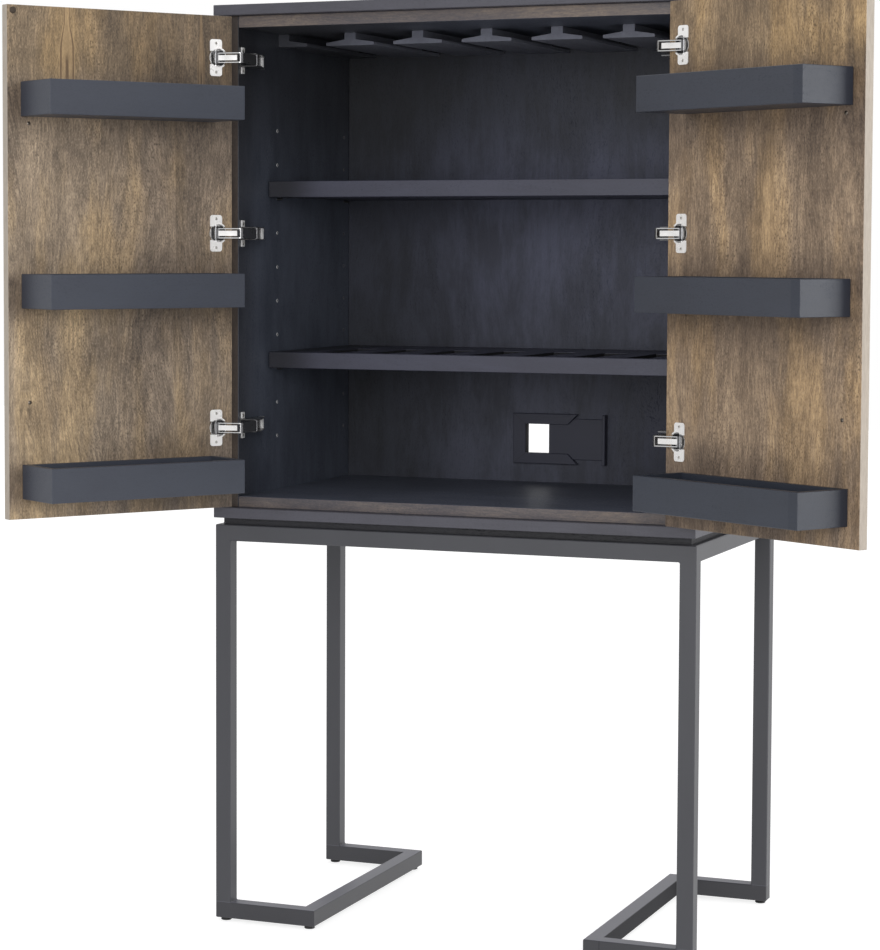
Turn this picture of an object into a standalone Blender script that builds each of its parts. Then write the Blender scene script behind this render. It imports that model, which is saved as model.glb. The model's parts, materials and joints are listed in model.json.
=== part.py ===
"""Wine cabinet: an oak case between two dark caps on a square tube stand, with two wide-opening
doors that carry bottle trays, stemware rails under the top, two shelves and a cable hatch.

Lengths are metres. X runs to the right, Y runs to the back and Z runs up. The cabinet is laid out
from its centre line (x = 0), from the front of its caps (y = 0) and from the floor (z = 0), with the
doors shut. Each door is then turned on its own axis to the angle at which it stands open.
"""
import math

import bmesh
import bpy
from mathutils import Matrix, Vector

# The cabinet as a whole
cabinet_width = 0.9144
cabinet_depth = 0.562
case_height = 0.9005
cap_thickness = 0.019
seat_gap = 0.0003
edge_ease = 0.0008
cut_overrun = 0.002
half_width = cabinet_width / 2

# Steel stand
stand_height = 0.742
tube_size = 0.030
tube_corner = 0.0015
stand_setback = 0.008
runner_reach = 0.1992
glide_height = 0.006
glide_radius = 0.010
glide_neck_radius = 0.006
glide_foot_height = 0.004
glide_sides = 20

# Shadow-gap plinth between the stand and the bottom cap
plinth_height = 0.013
plinth_inset = 0.012

# Boards of the case
case_setback = 0.0205
side_thickness = 0.041
top_thickness = 0.0215
bottom_thickness = 0.020
back_thickness = 0.009
back_recess = 0.007

# Shelves and the holes that their pins go into
shelf_thickness = 0.030
shelf_front = 0.150
shelf_end_gap = 0.003
shelf_back_gap = 0.002
pin_radius = 0.0025
pin_reach = 0.010
pin_hole_depth = 0.011
pin_hole_sides = 10
pin_pitch = 0.064
pin_row_count = 10
pin_lowest = 0.1015
pin_front_column = 0.195
pin_back_setback = 0.041
lower_shelf_row = 2
upper_shelf_row = 7

# Bottle rests routed into the lower shelf
rest_count = 7
rest_end_margin = 0.0632
rest_width = 0.046
rest_depth = 0.012
rest_wall = 0.006
rest_front = 0.162
rest_back = 0.370
rest_arc_steps = 10

# Stemware rails under the top
rail_count = 5
rail_slot = 0.039
half_rail_share = 0.61458
rail_stem_width = 0.022
rail_drop = 0.0237
rail_tip_thickness = 0.0055
rail_root_thickness = 0.011
rail_front = 0.200
rail_back_gap = 0.002

# Doors
door_thickness = 0.018
door_back_gap = 0.0025
door_outer_gap = 0.0022
door_middle_gap = 0.003
door_end_gap = 0.005
left_door_angle = math.radians(123.5)
right_door_angle = math.radians(148.0)
swing_axis_inset = 0.0120
swing_axis_front = 0.0165

# Trays on the doors
tray_count = 3
tray_start = 0.0405
tray_end_gap = 0.0255
tray_depth = 0.110
tray_height = 0.060
tray_wall = 0.010
tray_floor = 0.008
tray_lowest = 0.0353
tray_top_gap = 0.1316

# Bar pulls on the fronts of the doors
pull_overhang = 0.018
pull_bar = 0.012
pull_standoff = 0.022
pull_screw_spacing = 0.484
pull_post_radius = 0.005
pull_from_free_edge = 0.041
pull_post_sides = 16

# Concealed wide-angle hinges
hinge_gaps_over_trays = (0.0177, 0.0389, 0.0231)
cup_offset = 0.030
cup_radius = 0.0175
cup_depth = 0.0118
cup_wall = 0.0012
cup_bore_clearance = 0.0003
cup_bore_depth = 0.0128
cup_sides = 32
flange_thickness = 0.0012
flange_rim = 0.0015
flange_near = 0.008
flange_far = 0.017
flange_half_height = 0.033
flange_corner = 0.005
flange_relief_gap = 0.0025
flange_screw_spacing = 0.052
flange_screw_offset = 0.0045
screw_dimple_radius = 0.0028
screw_dimple_depth = 0.0007
corner_steps = 5
pivot_shift = 0.0025
pivot_sink = 0.003
pivot_pin_radius = 0.0015
pivot_pin_sink = 0.0006
link_eye_clearance = 0.0003
link_eye_wall = 0.0016
link_thickness = 0.0022
link_half_height = 0.0092
link_exit_angle = math.radians(25.0)
link_head_overreach = 0.009
link_tail_angle = math.radians(110.8)
link_tail_length = 0.0754
link_bend_radius = 0.006
link_bend_steps = 6
link_tip_radius = 0.0025
link_tip_overhang = 0.0004
link_window_start = 0.0075
link_window_bridge = 0.004
link_bar_half_height = 0.0047
link_bar_end_gap = 0.0058
link_rail_height = 0.0017
link_turn_share = 0.129
arm_lead = 0.0035
arm_length = 0.094
arm_cheek_clearance = 0.0004
arm_plate = 0.0017
arm_web = 0.0024
arm_mouth_reach = 0.034
arm_tail_reach = 0.011
arm_mouth_length = 0.024
arm_end_wall = 0.003
arm_wing_lead = 0.0074
arm_wing_width = 0.011
arm_wing_half_height = 0.024
arm_wing_thickness = 0.0023

# Cable hatch in the back board
hatch_left = -0.0343
hatch_right = 0.0620
hatch_low = 0.0572
hatch_high = 0.1143
hatch_frame_width = 0.0255
hatch_rail_height = 0.0203
hatch_frame_thickness = 0.011
hatch_rail_end = 0.0516
hatch_guide_depth = 0.012
cover_thickness = 0.0045
cover_clearance = 0.0006
cover_edge = 0.0116
cover_length = 0.1184
cover_lip_width = 0.0060
cover_lip_height = 0.018

# Heights and depths that follow from the sizes above
bottom_cap_low = stand_height + plinth_height
case_low = bottom_cap_low + cap_thickness
case_high = case_low + case_height
inner_half = half_width - side_thickness
rail_width = (2 * inner_half - (rail_count + 1) * rail_slot) / (rail_count + 2 * half_rail_share)
rail_pitch = rail_width + rail_slot
floor_top = case_low + bottom_thickness
ceiling = case_high - top_thickness
back_front = cabinet_depth - back_recess - back_thickness
door_inner = case_setback - door_back_gap
door_outer = door_inner - door_thickness
door_edge = half_width - door_outer_gap
door_free = door_middle_gap / 2
flange_ring_radius = cup_radius + flange_rim
pivot_offset = cup_offset + pivot_shift
link_eye_bore = pivot_pin_radius + link_eye_clearance
link_eye_radius = link_eye_bore + link_eye_wall
link_head_length = side_thickness + link_head_overreach
link_tip_half_height = link_half_height + link_tip_overhang
arm_front = case_setback + arm_lead
arm_back = arm_front + arm_length
arm_cheek_gap = link_tip_half_height + arm_cheek_clearance
door_low = case_low + door_end_gap
door_high = case_high - door_end_gap
axis_x = door_edge - swing_axis_inset
axis_y = door_outer - swing_axis_front
pin_base = floor_top + pin_lowest
tray_pitch = (door_high - door_low - tray_lowest - tray_height - tray_top_gap) / (tray_count - 1)
tray_lows = [door_low + tray_lowest + index * tray_pitch for index in range(tray_count)]
hinge_heights = [low + tray_height + gap + flange_half_height
                 for low, gap in zip(tray_lows, hinge_gaps_over_trays)]
SIDES = (("left", -1), ("right", 1))


def make_material(name, colour, roughness, metallic=0.0):
    """A plain Principled material in the colour that the piece has in daylight."""
    material = bpy.data.materials.new(name)
    material.use_nodes = True
    shader = material.node_tree.nodes["Principled BSDF"]
    shader.inputs["Base Color"].default_value = (*colour, 1.0)
    shader.inputs["Roughness"].default_value = roughness
    shader.inputs["Metallic"].default_value = metallic
    return material


def block(low, high, ease=0.0):
    """A box between two corners, with its edges eased by a small chamfer."""
    mesh = bmesh.new()
    bmesh.ops.create_cube(mesh, size=1.0)
    low, high = Vector(low), Vector(high)
    size = high - low
    bmesh.ops.scale(mesh, vec=size, verts=mesh.verts)
    bmesh.ops.translate(mesh, vec=(low + high) / 2, verts=mesh.verts)
    ease_edges(mesh, ease)
    return mesh


def side_block(side, near, far, ease=0.0):
    """A box on the left or right half, from its least to its greatest distance off the centre line."""
    low = (min(side * near[0], side * far[0]), near[1], near[2])
    high = (max(side * near[0], side * far[0]), far[1], far[2])
    return block(low, high, ease)


def ease_edges(mesh, ease, segments=1):
    """Chamfer every sharp edge of a closed mesh by one width."""
    if ease > 0:
        sharp = [edge for edge in mesh.edges if edge.calc_face_angle(0.0) > math.radians(30)]
        bmesh.ops.bevel(mesh, geom=sharp, offset=ease, segments=segments, affect="EDGES", profile=0.5)


def prism(outline, axis, start, end):
    """Extrude a closed outline along one axis: X takes (y, z) points, Y takes (x, z), Z takes (x, y)."""
    place = {"X": lambda p, s: (s, p[0], p[1]), "Y": lambda p, s: (p[0], s, p[1]),
             "Z": lambda p, s: (p[0], p[1], s)}[axis]
    mesh = bmesh.new()
    face = mesh.faces.new([mesh.verts.new(place(point, start)) for point in outline])
    grown = bmesh.ops.extrude_face_region(mesh, geom=[face])
    moved = [item for item in grown["geom"] if isinstance(item, bmesh.types.BMVert)]
    shift = Vector(place((0.0, 0.0), end)) - Vector(place((0.0, 0.0), start))
    bmesh.ops.translate(mesh, vec=shift, verts=moved)
    bmesh.ops.recalc_face_normals(mesh, faces=mesh.faces)
    return mesh


def rod(axis, centre, start, end, radius, sides):
    """A round bar along one axis about a centre given in the other two."""
    turns = [2 * math.pi * step / sides for step in range(sides)]
    outline = [(centre[0] + radius * math.cos(turn), centre[1] + radius * math.sin(turn)) for turn in turns]
    return prism(outline, axis, start, end)


def merged(meshes):
    """Put several closed meshes that don't meet into one, to cut with in one go."""
    result = bmesh.new()
    for mesh in meshes:
        piece = bpy.data.meshes.new("piece")
        mesh.to_mesh(piece)
        mesh.free()
        result.from_mesh(piece)
        bpy.data.meshes.remove(piece)
    return result


def boolean(body, tool, operation):
    """Join a tool solid to a body or cut it out, and return the result as one closed mesh."""
    pair = []
    for mesh in (body, tool):
        data = bpy.data.meshes.new("boolean")
        mesh.to_mesh(data)
        mesh.free()
        pair.append(bpy.data.objects.new("boolean", data))
        bpy.context.scene.collection.objects.link(pair[-1])
    modifier = pair[0].modifiers.new("boolean", "BOOLEAN")
    modifier.object = pair[1]
    modifier.operation = operation
    modifier.solver = "EXACT"
    evaluated = pair[0].evaluated_get(bpy.context.evaluated_depsgraph_get())
    result = bmesh.new()
    result.from_mesh(evaluated.to_mesh())
    evaluated.to_mesh_clear()
    for item in pair:
        data = item.data
        bpy.data.objects.remove(item)
        bpy.data.meshes.remove(data)
    return result


def joined(body, *tools):
    """The body with each tool solid welded to it."""
    for tool in tools:
        body = boolean(body, tool, "UNION")
    return body


def cut(body, *tools):
    """The body with each tool solid cut away."""
    for tool in tools:
        body = boolean(body, tool, "DIFFERENCE")
    return body


def add_piece(name, mesh, material, carrier, smooth_angle=None):
    """Make the named object from a mesh laid out with the doors shut, and hang it on its carrier."""
    data = bpy.data.meshes.new(name)
    mesh.to_mesh(data)
    mesh.free()
    data.transform(Matrix.Translation(-carrier["layout"]))
    if smooth_angle is not None:
        data.shade_smooth()
        data.set_sharp_from_angle(angle=smooth_angle)
    data.materials.append(material)
    piece = bpy.data.objects.new(name, data)
    bpy.context.scene.collection.objects.link(piece)
    piece.parent = carrier["empty"]
    return piece


def add_carrier(name, layout, parent=None, turn=0.0):
    """An empty on a joint's axis. Its layout point is where the axis stands with the doors shut."""
    empty = bpy.data.objects.new(name, None)
    bpy.context.scene.collection.objects.link(empty)
    layout = Vector(layout)
    if parent is not None:
        empty.parent = parent["empty"]
        empty.location = layout - parent["layout"]
    empty.rotation_euler = (0.0, 0.0, turn)
    return {"empty": empty, "layout": layout}


def rounded_corner(centre, radius, start, end, steps):
    """Points on an arc between two angles in degrees."""
    angles = [math.radians(start + (end - start) * step / steps) for step in range(steps + 1)]
    return [(centre[0] + radius * math.cos(a), centre[1] + radius * math.sin(a)) for a in angles]


# Steel stand
def leg_frame(side):
    """Two legs under a side rail, standing on a runner that steps in under the cabinet."""
    outer = side * half_width
    inner = side * (half_width - tube_size)
    front, back = stand_setback, cabinet_depth
    bridge = [(front, glide_height + seat_gap), (front, stand_height), (back, stand_height),
              (back, glide_height + seat_gap), (back - tube_size, glide_height + seat_gap),
              (back - tube_size, stand_height - tube_size), (front + tube_size, stand_height - tube_size),
              (front + tube_size, glide_height + seat_gap)]
    frame = prism(bridge, "X", min(outer, inner), max(outer, inner))
    ease_edges(frame, tube_corner)
    far = side * (half_width - runner_reach)
    near = side * (half_width - runner_reach + tube_size)
    runner = [(outer, front), (far, front), (far, back), (outer, back), (outer, back - tube_size),
              (near, back - tube_size), (near, front + tube_size), (outer, front + tube_size)]
    foot = prism(runner, "Z", glide_height + seat_gap, glide_height + seat_gap + tube_size)
    ease_edges(foot, tube_corner)
    return joined(frame, foot)


def cross_rail(front):
    """A square tube between the two leg frames."""
    reach = half_width - tube_size - seat_gap
    low = (-reach, front, stand_height - tube_size)
    high = (reach, front + tube_size, stand_height)
    return block(low, high, tube_corner)


def glide(x, y):
    """A turned foot: a round pad with a rolled edge under a narrower neck."""
    roll = glide_foot_height / 2
    profile = [(0.0, 0.0), (glide_radius - roll, 0.0)]
    profile += [(glide_radius - roll + roll * math.sin(a), roll - roll * math.cos(a))
                for a in (math.pi / 4, math.pi / 2, 3 * math.pi / 4)]
    profile += [(glide_radius - roll, glide_foot_height), (glide_neck_radius, glide_foot_height),
                (glide_neck_radius, glide_height), (0.0, glide_height)]
    mesh = bmesh.new()
    points = [mesh.verts.new((r, 0.0, z)) for r, z in profile]
    edges = [mesh.edges.new(pair) for pair in zip(points, points[1:])]
    bmesh.ops.spin(mesh, geom=points + edges, cent=(0, 0, 0), axis=(0, 0, 1), angle=2 * math.pi,
                   steps=glide_sides, use_merge=True)
    bmesh.ops.remove_doubles(mesh, verts=mesh.verts, dist=glide_radius * 0.001)
    bmesh.ops.recalc_face_normals(mesh, faces=mesh.faces)
    bmesh.ops.translate(mesh, vec=(x, y, 0.0), verts=mesh.verts)
    return mesh


def build_stand(carrier):
    steel = make_material("powder_coated_steel", (0.045, 0.047, 0.052), 0.5)
    rubber = make_material("black_glide", (0.012, 0.012, 0.012), 0.6)
    half_tube = tube_size / 2
    rows = (("front", stand_setback + half_tube), ("back", cabinet_depth - half_tube))
    columns = (("outer", half_width - half_tube), ("inner", half_width - runner_reach + half_tube))
    for label, side in SIDES:
        add_piece(f"{label}_leg_frame", leg_frame(side), steel, carrier)
        for row, y in rows:
            for column, x in columns:
                add_piece(f"glide_{label}_{row}_{column}", glide(side * x, y), rubber, carrier,
                          math.radians(40))
    add_piece("front_rail", cross_rail(stand_setback), steel, carrier)
    add_piece("back_rail", cross_rail(cabinet_depth - tube_size), steel, carrier)


# Caps, plinth and boards of the case
def pin_places(rows):
    """Depth and height of each shelf pin in the given rows."""
    heights = [pin_base + row * pin_pitch for row in rows]
    return [(y, z) for y in (pin_front_column, cabinet_depth - pin_back_setback) for z in heights]


def side_board(side):
    """A side of the case, with its columns of pin holes and the eight pins that are in use."""
    low = (inner_half, case_setback, case_low + seat_gap)
    high = (half_width, cabinet_depth, case_high - seat_gap)
    board = side_block(side, low, high, edge_ease)
    used = (lower_shelf_row, upper_shelf_row)
    free_rows = [row for row in range(pin_row_count) if row not in used]
    holes = [rod("X", place, side * (inner_half - cut_overrun), side * (inner_half + pin_hole_depth),
                 pin_radius, pin_hole_sides) for place in pin_places(free_rows)]
    pins = [rod("X", place, side * (inner_half - pin_reach), side * (inner_half + pin_hole_depth),
                pin_radius, pin_hole_sides) for place in pin_places(used)]
    return joined(cut(board, merged(holes)), merged(pins))


def back_board():
    """The back, set between the sides, with the rectangular way through for cables."""
    reach = inner_half - seat_gap
    board = block((-reach, back_front, case_low + seat_gap),
                  (reach, back_front + back_thickness, case_high - seat_gap), edge_ease)
    window = block((hatch_left, back_front - cut_overrun, floor_top + hatch_low - seat_gap),
                   (hatch_right, back_front + back_thickness + cut_overrun, floor_top + hatch_high))
    return cut(board, window)


def build_case(carrier):
    oak = make_material("brown_oak_veneer", (0.16, 0.115, 0.075), 0.5)
    dark = make_material("charcoal_stain", (0.045, 0.047, 0.053), 0.5)
    caps = (("bottom_cap", bottom_cap_low, case_low), ("top_cap", case_high, case_high + cap_thickness))
    for name, low, high in caps:
        add_piece(name, block((-half_width, 0.0, low), (half_width, cabinet_depth, high), edge_ease),
                  dark, carrier)
    reach = half_width - plinth_inset
    plinth = block((-reach, stand_setback + plinth_inset, stand_height + seat_gap),
                   (reach, cabinet_depth - plinth_inset, bottom_cap_low - seat_gap))
    add_piece("plinth", plinth, dark, carrier)
    for label, side in SIDES:
        add_piece(f"{label}_side", side_board(side), oak, carrier)
    reach = inner_half - seat_gap
    boards = (("bottom_board", case_low + seat_gap, floor_top), ("top_board", ceiling, case_high - seat_gap))
    for name, low, high in boards:
        board = block((-reach, case_setback, low), (reach, back_front - seat_gap, high), edge_ease)
        add_piece(name, board, oak, carrier)
    add_piece("back_board", back_board(), dark, carrier)


# Shelves and stemware rails
def shelf(row):
    """A thick shelf that lies on four pins of one row."""
    low = pin_base + row * pin_pitch + pin_radius + seat_gap
    reach = inner_half - shelf_end_gap
    return block((-reach, shelf_front, low), (reach, back_front - shelf_back_gap, low + shelf_thickness),
                 edge_ease)


def bottle_rest(x, top):
    """The cutter of one routed rest: upright walls over a hollow floor, carried from front to back."""
    half = rest_width / 2
    sag = rest_depth - rest_wall
    radius = (half ** 2 + sag ** 2) / (2 * sag)
    spread = math.degrees(math.asin(half / radius))
    centre = (x, top - rest_depth + radius)
    arc = rounded_corner(centre, radius, 270 - spread, 270 + spread, rest_arc_steps)
    outline = arc + [(x + half, top + cut_overrun), (x - half, top + cut_overrun)]
    return prism(outline, "Y", rest_front, rest_back)


def wing_profile(stem, tip, low, high):
    """One side of a rail's section from its stem to its tip, with the sloped top of its wing."""
    return [(tip, low), (tip, low + rail_tip_thickness), (stem, low + rail_root_thickness), (stem, high)]


def build_fittings(carrier):
    dark = make_material("charcoal_interior", (0.028, 0.030, 0.034), 0.55)
    add_piece("upper_shelf", shelf(upper_shelf_row), dark, carrier)
    top = pin_base + lower_shelf_row * pin_pitch + pin_radius + seat_gap + shelf_thickness
    middle = (rest_count - 1) / 2
    rest_pitch = 2 * (inner_half - shelf_end_gap - rest_end_margin) / rest_count
    rests = [bottle_rest((index - middle) * rest_pitch, top) for index in range(rest_count)]
    add_piece("lower_shelf", cut(shelf(lower_shelf_row), merged(rests)), dark, carrier)
    low, high = ceiling - rail_drop, ceiling - seat_gap
    half_stem, half_rail = rail_stem_width / 2, rail_width / 2
    right_half = wing_profile(half_stem, half_rail, low, high)
    left_half = [(-x, z) for x, z in reversed(right_half)]
    for index in range(rail_count):
        x = (index - (rail_count - 1) / 2) * rail_pitch
        outline = [(x + px, pz) for px, pz in right_half + left_half]
        add_piece(f"stemware_rail_{index + 1}", prism(outline, "Y", rail_front, back_front - rail_back_gap),
                  dark, carrier)
    wall = inner_half - seat_gap
    wing = wing_profile(wall - rail_stem_width, inner_half - half_rail_share * rail_width, low, high)
    for label, side in SIDES:
        outline = [(side * x, z) for x, z in wing + [(wall, high), (wall, low)]]
        add_piece(f"{label}_half_rail", prism(outline, "Y", rail_front, back_front - rail_back_gap),
                  dark, carrier)


# Doors, trays and pulls
def door(side):
    """A door panel with the three bores that its hinge cups sit in."""
    panel = side_block(side, (door_free, door_outer, door_low), (door_edge, door_inner, door_high), edge_ease)
    bores = [rod("Y", (side * (door_edge - cup_offset), z), door_inner - cup_bore_depth,
                 door_inner + cut_overrun, cup_radius + cup_bore_clearance, cup_sides)
             for z in hinge_heights]
    return cut(panel, merged(bores))


def tray(side, low):
    """An open-topped box: its top face is inset by the wall and then sunk to the floor."""
    near = (door_free + tray_end_gap, door_inner + seat_gap, low)
    far = (door_edge - tray_start, door_inner + seat_gap + tray_depth, low + tray_height)
    mesh = side_block(side, near, far, edge_ease)
    top = max(mesh.faces, key=lambda face: face.calc_center_median().z * (face.normal.z > 0.9))
    bmesh.ops.inset_region(mesh, faces=[top], thickness=tray_wall - edge_ease, use_even_offset=True)
    sunk = bmesh.ops.extrude_face_region(mesh, geom=[top])
    floor = [item for item in sunk["geom"] if isinstance(item, bmesh.types.BMVert)]
    bmesh.ops.delete(mesh, geom=[top], context="FACES")
    bmesh.ops.translate(mesh, vec=(0, 0, tray_floor - tray_height), verts=floor)
    bmesh.ops.recalc_face_normals(mesh, faces=mesh.faces)
    return mesh


def pull(side):
    """A square bar on two round posts."""
    x = side * (door_free + pull_from_free_edge)
    middle = (door_low + door_high) / 2
    face = door_outer - seat_gap
    half_bar = pull_bar / 2
    reach = pull_screw_spacing / 2 + pull_overhang
    bar = block((x - half_bar, face - pull_standoff - pull_bar, middle - reach),
                (x + half_bar, face - pull_standoff, middle + reach), edge_ease)
    posts = [rod("Y", (x, middle + end * pull_screw_spacing / 2), face - pull_standoff - half_bar, face,
                 pull_post_radius, pull_post_sides) for end in (-1, 1)]
    return joined(bar, merged(posts))


def build_doors(carriers):
    oak = make_material("brown_oak_door", (0.17, 0.12, 0.08), 0.5)
    dark = make_material("charcoal_tray", (0.05, 0.052, 0.058), 0.5)
    metal = make_material("dark_bronze_pull", (0.05, 0.045, 0.04), 0.4, 0.8)
    for label, side in SIDES:
        carrier = carriers[label]
        add_piece(f"{label}_door", door(side), oak, carrier)
        add_piece(f"{label}_pull", pull(side), metal, carrier, math.radians(40))
        for index, low in enumerate(tray_lows):
            add_piece(f"{label}_tray_{index + 1}", tray(side, low), dark, carrier)


# Concealed hinges
def flange_outline(side):
    """Two screw tabs and the round rim of the cup, as one outline about the cup's centre."""
    rim_height = math.sqrt(flange_ring_radius ** 2 - flange_near ** 2)
    rim_angle = math.degrees(math.atan2(rim_height, -flange_near))
    high, r = flange_half_height, flange_corner
    points = rounded_corner((flange_far - r, high - r), r, 0, 90, corner_steps)
    points += rounded_corner((-flange_near + r, high - r), r, 90, 180, corner_steps)
    points += rounded_corner((0.0, 0.0), flange_ring_radius, rim_angle, 360 - rim_angle, cup_sides // 2)
    points += rounded_corner((-flange_near + r, r - high), r, 180, 270, corner_steps)
    points += rounded_corner((flange_far - r, r - high), r, 270, 360, corner_steps)
    return [(side * (door_edge - cup_offset - x), z) for x, z in points]


def hinge_cup(side):
    """Pressed cup with its screw tabs, open between them for the link, and the link's cross pin."""
    centre = (side * (door_edge - cup_offset), 0.0)
    seat = door_inner + seat_gap
    face = seat + flange_thickness
    plate = prism(flange_outline(side), "Y", seat, face)
    shell = rod("Y", centre, door_inner - cup_depth, seat + flange_thickness / 2, cup_radius, cup_sides)
    hollow = rod("Y", centre, door_inner - cup_depth + cup_wall, face + cut_overrun,
                 cup_radius - cup_wall, cup_sides)
    screw_x = side * (door_edge - cup_offset - flange_screw_offset)
    dimples = [rod("Y", (screw_x, end * flange_screw_spacing / 2), face - screw_dimple_depth,
                   face + cut_overrun, screw_dimple_radius, pin_hole_sides) for end in (-1, 1)]
    relief_reach = link_half_height + flange_relief_gap
    relief = block((centre[0] - cup_radius * 2, seat, -relief_reach),
                   (centre[0] + cup_radius * 2, face + cut_overrun, relief_reach))
    body = cut(joined(plate, shell), merged([hollow] + dimples), relief)
    chord = math.sqrt((cup_radius - cup_wall) ** 2 - (pivot_offset - cup_offset) ** 2)
    reach = chord + pivot_pin_sink
    pin = rod("Z", (side * (door_edge - pivot_offset), door_inner - pivot_sink), -reach, reach,
              pivot_pin_radius, pin_hole_sides)
    return joined(body, pin)


def link_path():
    """Centre line of the link from its pivot: a head, a bend and a tail, in the plane of the swing."""
    head = Vector((-math.cos(link_exit_angle), math.sin(link_exit_angle)))
    tail = Vector((-math.cos(link_tail_angle), math.sin(link_tail_angle)))
    corner = head * link_head_length
    turn = math.acos(head.dot(tail))
    trim = link_bend_radius * math.tan(turn / 2)
    points = [Vector((0.0, 0.0))]
    start, end = corner - head * trim, corner + tail * trim
    centre = start + Vector((head.y, -head.x)) * link_bend_radius
    first = math.atan2(start.y - centre.y, start.x - centre.x)
    for step in range(link_bend_steps + 1):
        angle = first - turn * step / link_bend_steps
        points.append(centre + link_bend_radius * Vector((math.cos(angle), math.sin(angle))))
    points[-1] = end
    points.append(corner + tail * link_tail_length)
    return points


def strap_outline(points, half):
    """Both sides of a strip along a path, mitred at each point of the path."""
    left, right = [], []
    for index, point in enumerate(points):
        before = (point - points[max(index - 1, 0)])
        after = (points[min(index + 1, len(points) - 1)] - point)
        before = (before if before.length > 0 else after).normalized()
        after = (after if after.length > 0 else before).normalized()
        along = (before + after).normalized()
        offset = Vector((-along.y, along.x)) * half / along.dot(before)
        left.append(point + offset)
        right.append(point - offset)
    return left + right[::-1]


def hinge_link(side):
    """Goose-necked link: an eye on the cup's pin, a tongue in a thin loop and a tail that ends in a pin."""
    pivot = Vector((door_edge - pivot_offset, door_inner - pivot_sink))

    def place(point):
        return (side * (pivot.x + point[0]), pivot.y + point[1])

    path = link_path()
    outline = [place(point) for point in strap_outline(path, link_thickness / 2)]
    strap = prism(outline, "Z", -link_half_height, link_half_height)
    head = Vector((-math.cos(link_exit_angle), math.sin(link_exit_angle)))
    across = Vector((-head.y, head.x)) * (link_thickness / 2 + cut_overrun)
    outer = link_half_height - link_rail_height
    window_end = link_head_length - link_window_bridge

    def window(start, low, high):
        near, far = head * start, head * window_end
        slot = [place(point) for point in (near - across, near + across, far + across, far - across)]
        return prism(slot, "Z", low, high)

    sides = merged([window(link_window_start, link_bar_half_height, outer),
                    window(link_window_start, -outer, -link_bar_half_height)])
    strap = cut(strap, sides, window(window_end - link_bar_end_gap, -outer, outer))
    eye = rod("Z", place((0.0, 0.0)), -link_half_height, link_half_height, link_eye_radius, cup_sides // 2)
    tip = rod("Z", place(path[-1]), -link_tip_half_height, link_tip_half_height, link_tip_radius,
              pin_hole_sides)
    bore = rod("Z", place((0.0, 0.0)), -link_half_height - cut_overrun, link_half_height + cut_overrun,
               link_eye_bore, pin_hole_sides)
    return cut(joined(strap, eye, tip), bore)


def hinge_arm(side):
    """Mounting plate with two screw wings and the open channel that the link's tail runs in."""
    wall = inner_half - seat_gap

    def reach(distance):
        return side * (wall - distance)

    cheek = [(reach(0.0), arm_front), (reach(arm_mouth_reach), arm_front),
             (reach(arm_mouth_reach), arm_front + arm_mouth_length),
             (reach(arm_tail_reach), arm_back - arm_tail_reach / 2),
             (reach(arm_tail_reach * 0.6), arm_back), (reach(0.0), arm_back)]
    outer = arm_cheek_gap + arm_plate
    body = block((min(reach(0.0), reach(arm_web)), arm_front, -outer),
                 (max(reach(0.0), reach(arm_web)), arm_back, outer))
    cheeks = merged([prism(cheek, "Z", arm_cheek_gap, outer), prism(cheek, "Z", -outer, -arm_cheek_gap)])
    end_reach = arm_tail_reach * 0.6
    end = block((min(reach(0.0), reach(end_reach)), arm_back - arm_end_wall, -outer),
                (max(reach(0.0), reach(end_reach)), arm_back, outer))
    wing_near, wing_far = reach(0.0), reach(arm_wing_thickness)
    wing_front = arm_front + arm_wing_lead
    wings = block((min(wing_near, wing_far), wing_front, -arm_wing_half_height),
                  (max(wing_near, wing_far), wing_front + arm_wing_width, arm_wing_half_height))
    return joined(body, cheeks, end, wings)


def build_hinges(root, doors, links):
    nickel = make_material("nickel_plate", (0.62, 0.60, 0.57), 0.28, 1.0)
    names = ("lower", "middle", "upper")
    for label, side in SIDES:
        for name, height in zip(names, hinge_heights):
            pieces = (("cup", hinge_cup(side), doors[label]), ("link", hinge_link(side), links[label]),
                      ("arm", hinge_arm(side), root))
            for kind, mesh, carrier in pieces:
                bmesh.ops.translate(mesh, vec=(0.0, 0.0, height), verts=mesh.verts)
                add_piece(f"{label}_hinge_{kind}_{name}", mesh, nickel, carrier, math.radians(35))


# Cable hatch
def hatch_frame():
    """Two grooved rails and an upright, mitred at the corners and cut at 45 degrees at the open end."""
    low, high = floor_top + hatch_low, floor_top + hatch_high
    outer_low, outer_high = low - hatch_rail_height, high + hatch_rail_height
    end = hatch_rail_end + hatch_rail_height
    outline = [(hatch_left - hatch_frame_width, outer_low), (end, outer_low), (hatch_rail_end, low),
               (hatch_left, low), (hatch_left, high), (hatch_rail_end, high), (end, outer_high),
               (hatch_left - hatch_frame_width, outer_high)]
    seat = back_front - seat_gap
    frame = prism(outline, "Y", seat - hatch_frame_thickness, seat)
    ease_edges(frame, edge_ease)
    guide = block((hatch_left, seat - cover_thickness - 2 * cover_clearance, low - hatch_guide_depth),
                  (end + cut_overrun, seat + cut_overrun, high + hatch_guide_depth))
    return cut(frame, guide)


def hatch_cover():
    """The sliding plate that runs in the grooves of the rails, with an upright finger bar at its end."""
    low, high = floor_top + hatch_low, floor_top + hatch_high
    slack = hatch_guide_depth - cover_clearance
    end = cover_edge + cover_length
    seat = back_front - seat_gap
    plate = block((cover_edge, seat - cover_thickness, low - slack), (end, seat, high + slack), edge_ease)
    bar = block((end - cover_lip_width, seat - cover_lip_height, low - hatch_rail_height),
                (end, seat, high + hatch_rail_height), edge_ease)
    return joined(plate, bar)


def build_hatch(root, slider):
    dark = make_material("charcoal_hatch", (0.022, 0.023, 0.026), 0.5)
    add_piece("hatch_frame", hatch_frame(), dark, root)
    add_piece("hatch_cover", hatch_cover(), dark, slider)


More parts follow.
